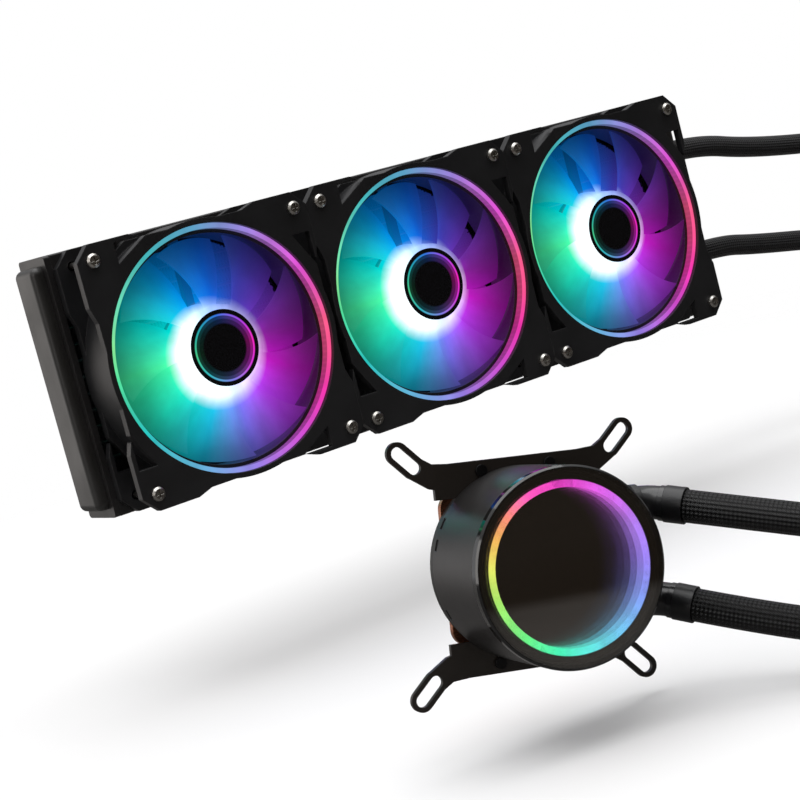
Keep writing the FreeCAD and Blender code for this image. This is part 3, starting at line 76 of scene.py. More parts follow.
class Shade:
    """One material, built node by node."""

    def __init__(self, name):
        self.mat = bpy.data.materials.new(name)
        self.mat.use_nodes = True
        self.tree = self.mat.node_tree
        self.bsdf = self.tree.nodes["Principled BSDF"]
        self.out = self.tree.nodes["Material Output"]

    @classmethod
    def of(cls, material):
        """The same tools for a material that is made already."""
        shade = cls.__new__(cls)
        shade.mat = material
        shade.tree = material.node_tree
        shade.bsdf = shade.tree.nodes["Principled BSDF"]
        return shade

    def node(self, kind, **settings):
        made = self.tree.nodes.new(kind)
        for key, value in settings.items():
            setattr(made, key, value)
        return made

    def link(self, source, target):
        self.tree.links.new(source, target)

    def math(self, operation, first, second=None, third=None):
        made = self.node("ShaderNodeMath", operation=operation)
        for socket, value in zip(made.inputs, (first, second, third)):
            if value is None:
                continue
            if isinstance(value, (int, float)):
                socket.default_value = value
            else:
                self.link(value, socket)
        return made.outputs[0]

    def vector(self, operation, first, second=None):
        made = self.node("ShaderNodeVectorMath", operation=operation)
        for socket, value in zip(made.inputs, (first, second)):
            if value is None:
                continue
            if isinstance(value, (tuple, list, Vector)):
                socket.default_value = tuple(value)
            else:
                self.link(value, socket)
        return made.outputs["Value" if operation in ("DOT_PRODUCT", "LENGTH") else "Vector"]

    def ramp(self, source, stops):
        made = self.node("ShaderNodeValToRGB")
        band = made.color_ramp.elements
        while len(band) > 1:
            band.remove(band[-1])
        band[0].position = stops[0][0]
        band[0].color = (*stops[0][1], 1)
        for place, colour in stops[1:]:
            band.new(place).color = (*colour, 1)
        self.link(source, made.inputs["Fac"])
        return made.outputs["Color"]

    def curve(self, source, stops):
        """A value that follows points (place, height) over the source from 0 to 1."""
        made = self.node("ShaderNodeFloatCurve")
        line = made.mapping.curves[0]
        while len(line.points) > 2:
            line.points.remove(line.points[1])
        line.points[0].location = stops[0]
        line.points[1].location = stops[-1]
        for stop in stops[1:-1]:
            line.points.new(*stop)
        made.mapping.update()
        self.link(source, made.inputs["Value"])
        return made.outputs["Value"]

    def mix(self, factor, first, second):
        made = self.node("ShaderNodeMix", data_type="RGBA")
        sockets = (made.inputs[0], made.inputs[6], made.inputs[7])
        for socket, value in zip(sockets, (factor, first, second)):
            if isinstance(value, (int, float)):
                socket.default_value = value
            elif isinstance(value, (tuple, list)):
                socket.default_value = (*value, 1)
            else:
                self.link(value, socket)
        return made.outputs[2]

    def noise(self, scale, detail=3.0, roughness=0.55, source=None):
        made = self.node("ShaderNodeTexNoise")
        made.inputs["Scale"].default_value = scale
        made.inputs["Detail"].default_value = detail
        made.inputs["Roughness"].default_value = roughness
        if source is None:
            source = self.node("ShaderNodeTexCoord").outputs["Object"]
        self.link(source, made.inputs["Vector"])
        return made.outputs["Fac"]

    def spread(self, source, low, high, start=0.0, end=1.0):
        made = self.node("ShaderNodeMapRange")
        made.clamp = True
        limits = {"From Min": start, "From Max": end, "To Min": low, "To Max": high}
        for name, value in limits.items():
            made.inputs[name].default_value = value
        self.link(source, made.inputs["Value"])
        return made.outputs["Result"]

    def bump(self, height, distance, strength=1.0, under=None):
        made = self.node("ShaderNodeBump")
        made.inputs["Distance"].default_value = distance
        made.inputs["Strength"].default_value = strength
        self.link(height, made.inputs["Height"])
        if under is not None:
            self.link(under, made.inputs["Normal"])
        return made.outputs["Normal"]

    def soft_edges(self, radius):
        made = self.node("ShaderNodeBevel", samples=4)
        made.inputs["Radius"].default_value = radius
        return made.outputs["Normal"]

    def set(self, **values):
        for name, value in values.items():
            socket = self.bsdf.inputs[name.replace("_", " ")]
            if isinstance(value, (int, float)):
                socket.default_value = value
            elif isinstance(value, tuple):
                socket.default_value = (*value, 1)
            else:
                self.link(value, socket)


def moulded(name, colour, rough, grain=0.00004, grain_scale=2600.0, edge=0.0004, coat=0.0, tone=0.25):
    """Moulded or painted surface: fine grain, uneven gloss, slight tone change and softened edges."""
    shade = Shade(name)
    broad = shade.noise(38.0, 4.0)
    light = tuple(min(1.0, part * (1 + tone)) for part in colour)
    dark = tuple(part * (1 - tone) for part in colour)
    shade.set(Base_Color=shade.mix(broad, dark, light))
    shade.set(Roughness=shade.spread(broad, rough - 0.06, rough + 0.06, 0.3, 0.7))
    fine = shade.noise(grain_scale, 2.0)
    shade.set(Normal=shade.bump(fine, grain, 0.6, shade.soft_edges(edge)))
    if coat:
        shade.set(Coat_Weight=coat)
        shade.bsdf.inputs["Coat Roughness"].default_value = 0.05
    return shade.mat


def fan_spot(shade, lean=(0.0, 0.0), middle=(0.0, 0.0)):
    """Distance from the nearest fan's axis and the way round it, from 0 at +X over +Z to 1.

    With a lean, what lies behind the hub's front counts as further to one side, so that a painted glow lines
    up along one slanted line of sight.
    """
    split = shade.node("ShaderNodeSeparateXYZ")
    shade.link(shade.node("ShaderNodeNewGeometry").outputs["Position"], split.inputs[0])
    across = shade.math("WRAP", split.outputs["X"], FAN_PITCH / 2, -FAN_PITCH / 2)
    up = split.outputs["Z"]
    if any(lean):
        behind = shade.math("ADD", split.outputs["Y"], HUB_FRONT)
        across = shade.math("ADD", across, shade.math("MULTIPLY", behind, lean[0]))
        up = shade.math("ADD", up, shade.math("MULTIPLY", behind, lean[1]))
    if any(middle):
        across = shade.math("SUBTRACT", across, middle[0])
        up = shade.math("SUBTRACT", up, middle[1])
    return polar_spot(shade, across, up)


def pump_spot(shade):
    place = shade.node("ShaderNodeNewGeometry").outputs["Position"]
    offset = shade.vector("SUBTRACT", place, PUMP_AT)
    across = shade.vector("DOT_PRODUCT", offset, PUMP_RIGHT)
    up = shade.vector("DOT_PRODUCT", offset, PUMP_UP)
    return polar_spot(shade, across, up)


def polar_spot(shade, across, up):
    square = shade.math("ADD", shade.math("MULTIPLY", across, across), shade.math("MULTIPLY", up, up))
    reach = shade.math("SQRT", square)
    angle = shade.math("ARCTAN2", up, across)
    way = shade.math("FRACT", shade.math("ADD", shade.math("DIVIDE", angle, 2 * math.pi), 1.0))
    return reach, way


# Lit colours, each with its place round the ring as a part of a turn from the right, anticlockwise

FAN_RING = [
    (0.00, (0.90, 0.10, 0.25)), (0.08, (0.70, 0.08, 0.62)), (0.17, (0.32, 0.22, 0.70)),
    (0.25, (0.10, 0.33, 0.52)), (0.33, (0.05, 0.42, 0.44)), (0.41, (0.14, 0.68, 0.42)),
    (0.46, (0.22, 0.75, 0.28)), (0.50, (0.08, 0.72, 0.32)), (0.58, (0.015, 0.52, 0.50)),
    (0.67, (0.13, 0.42, 0.68)), (0.75, (0.30, 0.20, 0.75)), (0.83, (0.60, 0.07, 0.62)),
    (0.90, (0.85, 0.03, 0.40)), (0.95, (0.95, 0.08, 0.28)), (1.00, (0.90, 0.10, 0.25)),
]
FAN_GLOW = [
    (0.00, (0.21, 0.010, 0.26)), (0.08, (0.10, 0.020, 0.29)), (0.17, (0.035, 0.035, 0.34)),
    (0.25, (0.002, 0.10, 0.54)), (0.33, (0.0, 0.24, 0.70)), (0.42, (0.0, 0.60, 0.54)),
    (0.50, (0.04, 0.74, 0.31)), (0.58, (0.004, 0.63, 0.44)), (0.67, (0.006, 0.42, 0.64)),
    (0.75, (0.17, 0.15, 0.77)), (0.83, (0.37, 0.04, 0.71)), (0.92, (0.38, 0.004, 0.39)),
    (1.00, (0.21, 0.010, 0.26)),
]
PUMP_RING = [
    (0.00, (0.34, 0.24, 0.98)), (0.07, (0.46, 0.22, 0.96)), (0.15, (0.72, 0.14, 0.92)),
    (0.25, (0.92, 0.06, 0.70)), (0.32, (0.96, 0.09, 0.52)), (0.38, (0.96, 0.26, 0.20)),
    (0.43, (0.94, 0.52, 0.12)), (0.49, (0.70, 0.80, 0.14)), (0.56, (0.34, 0.86, 0.16)),
    (0.64, (0.12, 0.88, 0.24)), (0.71, (0.04, 0.86, 0.46)), (0.77, (0.10, 0.84, 0.78)),
    (0.84, (0.16, 0.62, 0.98)), (0.92, (0.22, 0.36, 0.98)), (1.00, (0.34, 0.24, 0.98)),
]
HUB_RING = [
    (0.00, (0.95, 0.02, 0.55)), (0.12, (0.40, 0.06, 0.85)), (0.25, (0.04, 0.20, 0.90)),
    (0.38, (0.02, 0.52, 0.55)), (0.50, (0.08, 0.80, 0.34)), (0.62, (0.04, 0.60, 0.70)),
    (0.75, (0.24, 0.24, 0.92)), (0.88, (0.70, 0.04, 0.75)), (1.00, (0.95, 0.02, 0.55)),
]

# Each lit ring's strength, and its inner and outer radius with the width of its soft edges

FAN_RING_STRENGTH = 1.05
FAN_RING_EDGES = (0.0540, 0.0566, 0.0002)
PUMP_RING_STRENGTH = 1.70
PUMP_RING_EDGES = (0.0262, 0.0293, 0.0003)

# The painted reflections in a hub's mirror, as rings of light: radius, half width and the strengths at its
# left and right

HUB_MIRROR_PAINTED_RINGS = [(0.0149, 0.0006, 0.75, 1.0), (0.0137, 0.0010, 0.05, 0.30), (0.0120, 0.0014, 0.015, 0.12)]

# How much of the right-hand strength those painted rings have, by the way round

MIRROR_SIDE = [(0.0, 1.0), (0.16, 0.75), (0.30, 0.25), (0.5, 0.0), (0.68, 0.2), (0.84, 0.75), (1.0, 1.0)]

# A fan's painted glow: its lean with depth, its offset, its level along the blades and its white zone at the
# hub

GLOW_LEAN = (-0.62, 0.10)
GLOW_MIDDLE = (-0.0045, -0.0010)
GLOW_PEAK = 2.35
GLOW_FALL = [(0.0, 0.95), (0.14, 0.62), (0.25, 0.49), (0.37, 0.40), (0.62, 0.235), (0.80, 0.15), (1.0, 0.09)]
GLOW_START = 0.0195
GLOW_END = 0.058
GLOW_WHITE_START = 0.0205
GLOW_WHITE_END = 0.0262
GLOW_WHITE_TINT = (0.52, 0.60, 0.62)
GLOW_WHITE_SHARE = [
    (0.0, 0.55), (0.12, 0.35), (0.24, 0.35), (0.34, 0.75), (0.44, 1.0), (0.62, 1.0), (0.71, 0.80),
    (0.80, 0.55), (0.90, 0.50), (1.0, 0.55),
]
GLOW_STREAKS_ROUND = 22.0
GLOW_STREAKS_OUT = 50.0

# The share of a fan's glow that is painted onto what stands behind it, within its opening and down to a depth

SPILL_ON_CORE = 0.85
SPILL_ON_FRAME = 0.45
OPENING_INNER = 0.0523
OPENING_OUTER = 0.0525
SPILL_FULL_Y = -0.0215
SPILL_NONE_Y = -0.0130


def lit_ring(name, spot, stops, strength, edges):
    """A diffusing ring over coloured lights: its colour changes round it, and it dims at its two edges."""
    shade = Shade(name)
    reach, way = spot(shade)
    inner, outer, soft = edges
    rise = shade.spread(reach, 0.0, 1.0, inner, inner + soft)
    drop = shade.spread(reach, 1.0, 0.0, outer - soft, outer)
    band = shade.math("MULTIPLY", rise, drop)
    uneven = shade.spread(shade.noise(90.0, 2.0), strength * 0.88, strength * 1.12, 0.3, 0.7)
    shade.set(Base_Color=(0.015, 0.015, 0.017), Roughness=0.40, Emission_Color=shade.ramp(way, stops))
    shade.set(Emission_Strength=shade.math("MULTIPLY", band, uneven))
    shade.bsdf.inputs["Specular IOR Level"].default_value = 0.25
    shade.set(Normal=shade.soft_edges(0.0003))
    return shade.mat


def fan_glow(shade):
    """Colour and level of a fan's painted glow, which spreads from the left of its hub."""
    reach, way = fan_spot(shade, GLOW_LEAN)
    near, _ = fan_spot(shade, GLOW_LEAN, GLOW_MIDDLE)
    out = shade.spread(near, 0.0, 1.0, GLOW_START, GLOW_END)
    white = shade.spread(near, 1.0, 0.0, GLOW_WHITE_START, GLOW_WHITE_END)
    share = shade.math("MULTIPLY", white, shade.curve(way, GLOW_WHITE_SHARE))
    tint = shade.mix(share, shade.ramp(way, FAN_GLOW), GLOW_WHITE_TINT)
    return reach, way, tint, shade.curve(out, GLOW_FALL)


def add_painted_spill(material, share):
    """Painted light: coloured light from a fan's glow, painted onto what stands close behind its blades."""
    shade = Shade.of(material)
    _, _, tint, fall = fan_glow(shade)
    reach, _ = fan_spot(shade)
    split = shade.node("ShaderNodeSeparateXYZ")
    shade.link(shade.node("ShaderNodeNewGeometry").outputs["Position"], split.inputs[0])
    inside = shade.spread(reach, share * GLOW_PEAK, 0.0, OPENING_INNER, OPENING_OUTER)
    front = shade.spread(split.outputs["Y"], 1.0, 0.0, SPILL_FULL_Y, SPILL_NONE_Y)
    shade.set(Emission_Color=tint)
    shade.set(Emission_Strength=shade.math("MULTIPLY", fall, shade.math("MULTIPLY", inside, front)))
    return material


def lit_rotor():
    """Smoky frosted rotor with a painted glow: white where the hub's wall lies over its lights, and fading
    along the blades.
    """
    shade = Shade("rotor_frosted")
    reach, way, tint, fall = fan_glow(shade)
    # Painted streaks in the glow, round the hub and outward along the blades
    spokes = shade.node("ShaderNodeTexNoise", noise_dimensions="2D")
    spokes.inputs["Scale"].default_value = 1.0
    spokes.inputs["Detail"].default_value = 3.0
    wheel = shade.node("ShaderNodeCombineXYZ")
    shade.link(shade.math("MULTIPLY", way, GLOW_STREAKS_ROUND), wheel.inputs["X"])
    shade.link(shade.math("MULTIPLY", reach, GLOW_STREAKS_OUT), wheel.inputs["Y"])
    shade.link(wheel.outputs[0], spokes.inputs["Vector"])
    glow_streak = shade.spread(spokes.outputs["Fac"], GLOW_PEAK * 0.9, GLOW_PEAK * 1.1, 0.3, 0.7)
    level = shade.math("MULTIPLY", fall, glow_streak)
    shade.set(Base_Color=(0.012, 0.012, 0.014), Roughness=0.55)
    shade.set(Emission_Color=tint, Emission_Strength=level)
    shade.bsdf.inputs["Specular IOR Level"].default_value = 0.12
    shade.set(Normal=shade.bump(shade.noise(1900.0, 2.0), 0.00003, 0.5, shade.soft_edges(0.0003)))
    return shade.mat


def black_mirror(name, spot, rings, stops):
    """Dark mirror cap with thin rings of light in its depth, which are painted reflections on its flat face.
    """
    shade = Shade(name)
    reach, way = spot(shade)
    right = shade.curve(way, MIRROR_SIDE)
    level = None
    # Each ring is a painted reflection of the hub's light ring
    for middle, half, left_level, right_level in rings:
        off = shade.math("ABSOLUTE", shade.math("SUBTRACT", reach, middle))
        height = shade.spread(right, left_level, right_level)
        line = shade.math("MULTIPLY", height, shade.spread(off, 1.0, 0.0, half * 0.4, half))
        level = line if level is None else shade.math("ADD", level, line)
    shade.set(Base_Color=(0.004, 0.004, 0.005), Roughness=0.08, Emission_Color=shade.ramp(way, stops))
    shade.set(Emission_Strength=level)
    shade.bsdf.inputs["Specular IOR Level"].default_value = 0.45
    return shade.mat


def half_mirror():
    """Smoked front glass that lets part of the light through and mirrors the rest."""
    mirrored = 0.26
    shade = Shade("mirror_glass")
    shade.tree.nodes.remove(shade.bsdf)
    clear = shade.node("ShaderNodeBsdfTransparent")
    clear.inputs["Color"].default_value = (0.84, 0.82, 0.80, 1)
    gloss = shade.node("ShaderNodeBsdfGlossy")
    gloss.inputs["Roughness"].default_value = 0.02
    gloss.inputs["Color"].default_value = (0.92, 0.90, 0.87, 1)
    both = shade.node("ShaderNodeMixShader")
    both.inputs[0].default_value = mirrored
    shade.link(clear.outputs[0], both.inputs[1])
    shade.link(gloss.outputs[0], both.inputs[2])
    shade.link(both.outputs[0], shade.out.inputs["Surface"])
    return shade.mat


def brushed(name, colour, rough, scale):
    """Machined metal with fine lines and a little tarnish."""
    shade = Shade(name)
    coords = shade.node("ShaderNodeTexCoord").outputs["Object"]
    stretch = shade.node("ShaderNodeMapping")
    stretch.inputs["Scale"].default_value = (1.0, 1.0, 14.0)
    shade.link(coords, stretch.inputs["Vector"])
    lines = shade.noise(scale, 3.0, source=stretch.outputs[0])
    stain = shade.noise(60.0, 4.0)
    dark = tuple(part * 0.7 for part in colour)
    shade.set(Base_Color=shade.mix(shade.spread(stain, 0.0, 1.0, 0.35, 0.7), colour, dark))
    shade.set(Metallic=1.0, Roughness=shade.spread(lines, rough - 0.08, rough + 0.10, 0.3, 0.7))
    shade.set(Normal=shade.bump(lines, 0.00003, 0.5, shade.soft_edges(0.0003)))
    return shade.mat


def silvered(name, colour):
    """A flat dark mirror, clean but for a trace of uneven silvering."""
    shade = Shade(name)
    cloud = shade.noise(22.0, 3.0)
    dull = tuple(part * 0.9 for part in colour)
    shade.set(Base_Color=shade.mix(cloud, dull, colour), Metallic=1.0, Roughness=0.02)
    return shade.mat


def braid(name):
    """Woven sleeve: bundles of fine black strands crossing over and under, from the tube's UV."""
    shade = Shade(name)
    uv = shade.node("ShaderNodeUVMap", uv_map="weave").outputs["UV"]
    split = shade.node("ShaderNodeSeparateXYZ")
    shade.link(uv, split.inputs[0])
    full_turn = 2 * math.pi
    threads = 4
    gap_shade = (0.001, 0.001, 0.001)
    strand = (0.008, 0.008, 0.009)
    rising = shade.math("ADD", split.outputs["X"], split.outputs["Y"])
    falling = shade.math("SUBTRACT", split.outputs["X"], split.outputs["Y"])
    first = shade.math("SINE", shade.math("MULTIPLY", rising, full_turn))
    second = shade.math("SINE", shade.math("MULTIPLY", falling, full_turn))
    weave = shade.math("MULTIPLY", first, second)
    strands = shade.math("SINE", shade.math("MULTIPLY", rising, threads * full_turn))
    height = shade.math("ADD", shade.math("MULTIPLY", weave, 0.5), shade.math("MULTIPLY", strands, 0.12))
    # Painted shade: the weave is darker where it sinks, between and under its bundles
    shade.set(Base_Color=shade.mix(shade.spread(weave, 0.0, 1.0, -0.5, 0.7), gap_shade, strand))
    shade.set(Roughness=shade.spread(strands, 0.26, 0.40, -1.0, 1.0))
    shade.bsdf.inputs["Specular IOR Level"].default_value = 0.42
    shade.set(Normal=shade.bump(height, 0.0007, 1.0))
    return shade.mat


FINISHES = {
    # The core, fins and fan frames carry painted light from the fans' glow
    "core_black": add_painted_spill(moulded("core_black", (0.010, 0.010, 0.011), 0.45), SPILL_ON_CORE),
    "fin_black": add_painted_spill(moulded("fin_black", (0.012, 0.012, 0.013), 0.50), SPILL_ON_CORE),
    "radiator_black": moulded("radiator_black", (0.013, 0.012, 0.012), 0.40, grain_scale=1400.0, edge=0.0005),
    "tank_black": moulded("tank_black", (0.017, 0.016, 0.015), 0.38, grain_scale=1400.0, edge=0.0005),
    "fan_black": add_painted_spill(moulded("fan_black", (0.010, 0.010, 0.011), 0.44, edge=0.0006), SPILL_ON_FRAME),
    "ring_light": lit_ring("ring_light", fan_spot, FAN_RING, FAN_RING_STRENGTH, FAN_RING_EDGES),
    "rotor_frosted": lit_rotor(),
    "hub_mirror": black_mirror("hub_mirror", fan_spot, HUB_MIRROR_PAINTED_RINGS, HUB_RING),
    "shaft_steel": brushed("shaft_steel", (0.55, 0.55, 0.56), 0.25, 900.0),
    "bearing_brass": brushed("bearing_brass", (0.60, 0.43, 0.18), 0.35, 900.0),
    "stator_steel": brushed("stator_steel", (0.30, 0.30, 0.31), 0.40, 900.0),
    "screw_nickel": brushed("screw_nickel", (0.62, 0.60, 0.56), 0.26, 700.0),
    "fitting_black": moulded("fitting_black", (0.008, 0.008, 0.009), 0.22, coat=0.3),
    "plug_red": moulded("plug_red", (0.22, 0.008, 0.006), 0.40),
    "pump_satin": moulded("pump_satin", (0.014, 0.013, 0.013), 0.36, edge=0.0005),
    "deck_black": moulded("deck_black", (0.012, 0.012, 0.012), 0.48),
    "impeller_white": moulded("impeller_white", (0.70, 0.70, 0.68), 0.40, tone=0.05),
    "ceramic": moulded("ceramic", (0.80, 0.79, 0.76), 0.25, tone=0.04),
    "copper": brushed("copper", (0.62, 0.26, 0.15), 0.30, 500.0),
    "bracket_black": moulded(
        "bracket_black", (0.020, 0.016, 0.013), 0.34, grain=0.00006, grain_scale=1500.0, edge=0.0003,
    ),
    "screw_black": brushed("screw_black", (0.05, 0.05, 0.052), 0.35, 700.0),
    "bezel_gloss": moulded("bezel_gloss", (0.006, 0.006, 0.006), 0.10, grain=0.000004, coat=0.6),
    "mirror_glass": half_mirror(),
    "mirror": silvered("mirror", (0.56, 0.54, 0.56)),
    "board": moulded("board", (0.01, 0.05, 0.025), 0.45),
    "hose_sleeve": braid("hose_sleeve"),
    "cuff_black": moulded("cuff_black", (0.006, 0.006, 0.007), 0.34, grain=0.0001, grain_scale=1200.0),
    "pump_ring_light": lit_ring(
        "pump_ring_light", pump_spot, PUMP_RING, PUMP_RING_STRENGTH, PUMP_RING_EDGES,
    ),
}


def dress(name, finish):
    piece = nodes[name]
    piece.data.materials.clear()
    piece.data.materials.append(FINISHES[finish])


NODE_FINISH = {
    "water_tubes": "core_black", "fin_strips": "fin_black",
    "header_plate_left": "radiator_black", "header_plate_right": "radiator_black",
    "end_tank_return": "tank_black", "end_tank_ports": "tank_black",
    "side_rail_top": "radiator_black", "side_rail_bottom": "radiator_black",
    "radiator_barb_upper": "fitting_black", "radiator_barb_lower": "fitting_black",
    "fill_plug": "plug_red", "fan_screws": "screw_nickel",
    "pump_housing": "pump_satin", "pump_deck": "deck_black", "chamber_lid": "deck_black",
    "impeller_pin": "ceramic", "impeller": "impeller_white", "pump_stator": "stator_steel",
    "cold_plate": "copper", "jet_plate": "deck_black", "light_board": "board",
    "bracket_upper": "bracket_black", "bracket_lower": "bracket_black", "bracket_screws": "screw_black",
    "pump_bezel": "bezel_gloss", "mirror_glass": "mirror_glass", "pump_ring_light": "pump_ring_light",
    "rear_mirror": "mirror", "elbow_upper": "fitting_black", "elbow_lower": "fitting_black",
    "cuff_upper": "cuff_black", "cuff_lower": "cuff_black",
}
for side in FAN_NAMES:
    NODE_FINISH[f"fan_{side}_frame"] = "fan_black"
    NODE_FINISH[f"fan_{side}_light_ring"] = "ring_light"
    NODE_FINISH[f"fan_{side}_bearing"] = "bearing_brass"
    NODE_FINISH[f"fan_{side}_stator"] = "stator_steel"
    # The rotors and hub rings carry the fans' painted glow
    NODE_FINISH[f"fan_{side}_rotor"] = "rotor_frosted"
    NODE_FINISH[f"fan_{side}_hub_mirror"] = "hub_mirror"
    NODE_FINISH[f"fan_{side}_hub_ring"] = "rotor_frosted"
    NODE_FINISH[f"fan_{side}_shaft"] = "shaft_steel"
for name, finish in NODE_FINISH.items():
    dress(name, finish)


# Dense pleated fins

FIN_LOW = -0.0496
TUBE_COUNT = 12
TUBE_GAP = 2 * -FIN_LOW / (TUBE_COUNT + 1)
HALF_TUBE = 0.0009
SHEET = 0.00009
PLEATS = 225
CREST_LOW_END = 0.12
CREST_HIGH_START = 0.5
CREST_HIGH_END = 0.62


def pleat_line(left, right, low, high):
    """The zigzag of one strip, seen from the front."""
    pitch = (right - left) / PLEATS
    line = []
    for step in range(PLEATS):
        start = left + pitch * step
        line += [(start, low), (start + pitch * CREST_LOW_END, low)]
        line += [(start + pitch * CREST_HIGH_START, high), (start + pitch * CREST_HIGH_END, high)]
    line.append((right, low))
    return line


def fin_pleats():
    """Strips of fine pleats with flat crests, one in each space between the water tubes."""
    place = nodes["fin_strips"].matrix_world
    old = [place @ Vector(corner) for corner in nodes["fin_strips"].bound_box]
    left = min(corner.x for corner in old)
    right = max(corner.x for corner in old)
    rear = max(corner.y for corner in old)
    front = min(corner.y for corner in old)
    mesh = bmesh.new()
    for row in range(TUBE_COUNT + 1):
        low = FIN_LOW + TUBE_GAP * row + (HALF_TUBE if row else 0.0)
        high = FIN_LOW + TUBE_GAP * (row + 1) - (HALF_TUBE if row < TUBE_COUNT else 0.0) - SHEET
        line = pleat_line(left, right, low, high)
        rims = []
        for depth in (rear, front):
            for lift in (0.0, SHEET):
                rims.append([mesh.verts.new((across, depth, up + lift)) for across, up in line])
        rear_low, rear_high, front_low, front_high = rims
        around = (rear_low, front_low, front_high, rear_high, rear_low)
        for one, two in zip(around, around[1:]):
            for step in range(len(line) - 1):
                mesh.faces.new((one[step], one[step + 1], two[step + 1], two[step]))
        for end in (0, -1):
            mesh.faces.new((rear_low[end], front_low[end], front_high[end], rear_high[end]))
    bmesh.ops.recalc_face_normals(mesh, faces=mesh.faces)
    data = bpy.data.meshes.new("fin_pleats")
    mesh.to_mesh(data)
    mesh.free()
    piece = bpy.data.objects.new("fin_pleats", data)
    bpy.context.scene.collection.objects.link(piece)
    data.materials.append(FINISHES["fin_black"])
    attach(piece, "root")
    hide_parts("fin_strips")


fin_pleats()


# Hoses

HOSE_RADIUS = 0.0058
HOSE_SIDES = 48
WEAVE_BUNDLES = 12
WEAVE_PITCH = 0.0030
HOSE_UPPER = [
    (-0.11085, -0.30782, -0.07852), (-0.08678, -0.35171, -0.09262), (-0.048, -0.392, -0.112),
    (0.010, -0.400, -0.114), (0.066, -0.372, -0.106), (0.126, -0.322, -0.092), (0.188, -0.268, -0.074),
    (0.250, -0.216, -0.052), (0.314, -0.162, -0.028), (0.361, -0.112, -0.008), (0.360, -0.055, 0.004),
    (0.317, -0.017, 0.011), (0.262, -0.0135, 0.0195), (0.225, -0.0135, 0.029), (0.201, -0.0135, 0.029),
]
HOSE_LOWER = [
    (-0.11722, -0.30786, -0.11191), (-0.09804, -0.34257, -0.12576), (-0.074, -0.382, -0.136),
    (-0.026, -0.404, -0.139), (0.030, -0.396, -0.140), (0.086, -0.358, -0.138), (0.142, -0.306, -0.131),
    (0.198, -0.252, -0.120), (0.250, -0.204, -0.104), (0.300, -0.160, -0.088), (0.343, -0.114, -0.071),
    (0.342, -0.057, -0.055), (0.300, -0.018, -0.043), (0.250, -0.0135, -0.0345), (0.225, -0.0135, -0.029),
    (0.201, -0.0135, -0.029),
]


def spline_points(name, route):
    """The points that Blender gives for a smooth curve through a hose's route."""
    line = bpy.data.curves.new(name, "CURVE")
    line.dimensions = "3D"
    line.resolution_u = 14
    spline = line.splines.new("NURBS")
    spline.points.add(len(route) - 1)
    for point, place in zip(spline.points, route):
        point.co = (*place, 1)
    spline.order_u = 3
    spline.use_endpoint_u = True
    holder = bpy.data.objects.new(name, line)
    bpy.context.scene.collection.objects.link(holder)
    mesh = bpy.data.meshes.new_from_object(holder)
    points = [vertex.co.copy() for vertex in mesh.vertices]
    bpy.data.objects.remove(holder)
    bpy.data.curves.remove(line)
    bpy.data.meshes.remove(mesh)
    return points


def tube_mesh(name, points):
    """A round tube along the points, with a UV that counts bundles round it and pitches along it."""
    rings = []
    mesh = bmesh.new()
    layer = mesh.loops.layers.uv.new("weave")
    side = (points[1] - points[0]).orthogonal().normalized()
    run = 0.0
    runs = []
    for step, point in enumerate(points):
        ahead = points[min(step + 1, len(points) - 1)]
        behind = points[max(step - 1, 0)]
        if step:
            run += (point - points[step - 1]).length
        runs.append(run)
        along = (ahead - behind).normalized()
        side = (side - along * side.dot(along)).normalized()
        up = along.cross(side)
        ring = []
        for corner in range(HOSE_SIDES):
            angle = 2 * math.pi * corner / HOSE_SIDES
            outward = side * math.cos(angle) + up * math.sin(angle)
            ring.append(mesh.verts.new(point + outward * HOSE_RADIUS))
        rings.append(ring)
    for step in range(len(points) - 1):
        near = rings[step]
        far = rings[step + 1]
        for corner in range(HOSE_SIDES):
            after = (corner + 1) % HOSE_SIDES
            face = mesh.faces.new((near[corner], near[after], far[after], far[corner]))
            face.smooth = True
            marks = ((corner, step), (corner + 1, step), (corner + 1, step + 1), (corner, step + 1))
            for loop, (turn_step, run_step) in zip(face.loops, marks):
                loop[layer].uv = (WEAVE_BUNDLES * turn_step / HOSE_SIDES, runs[run_step] / WEAVE_PITCH)
    mesh.faces.new(list(reversed(rings[0])))
    mesh.faces.new(rings[-1])
    data = bpy.data.meshes.new(name)
    mesh.to_mesh(data)
    mesh.free()
    piece = bpy.data.objects.new(name, data)
    bpy.context.scene.collection.objects.link(piece)
    return piece


def make_hose(which, route):
    points = spline_points("line_" + which, route)
    piece = tube_mesh("sleeve_" + which, points)
    piece.data.materials.append(FINISHES["hose_sleeve"])
    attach(piece, "root")
    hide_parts("hose_" + which)


make_hose("upper", HOSE_UPPER)
make_hose("lower", HOSE_LOWER)


# Floor and light

FLOOR_Z = -0.1462
FLOOR_HALF = 4.0
FADE_START = 0.24
FADE_END = 1.0
floor_mesh = bpy.data.meshes.new("floor")
corner_signs = ((-1, -1), (1, -1), (1, 1), (-1, 1))
corners = [(FLOOR_HALF * across, FLOOR_HALF * back, 0) for across, back in corner_signs]
floor_mesh.from_pydata(corners, [], [(0, 1, 2, 3)])
floor = bpy.data.objects.new("floor", floor_mesh)
floor.location = (0, 0, FLOOR_Z)
bpy.context.scene.collection.objects.link(floor)


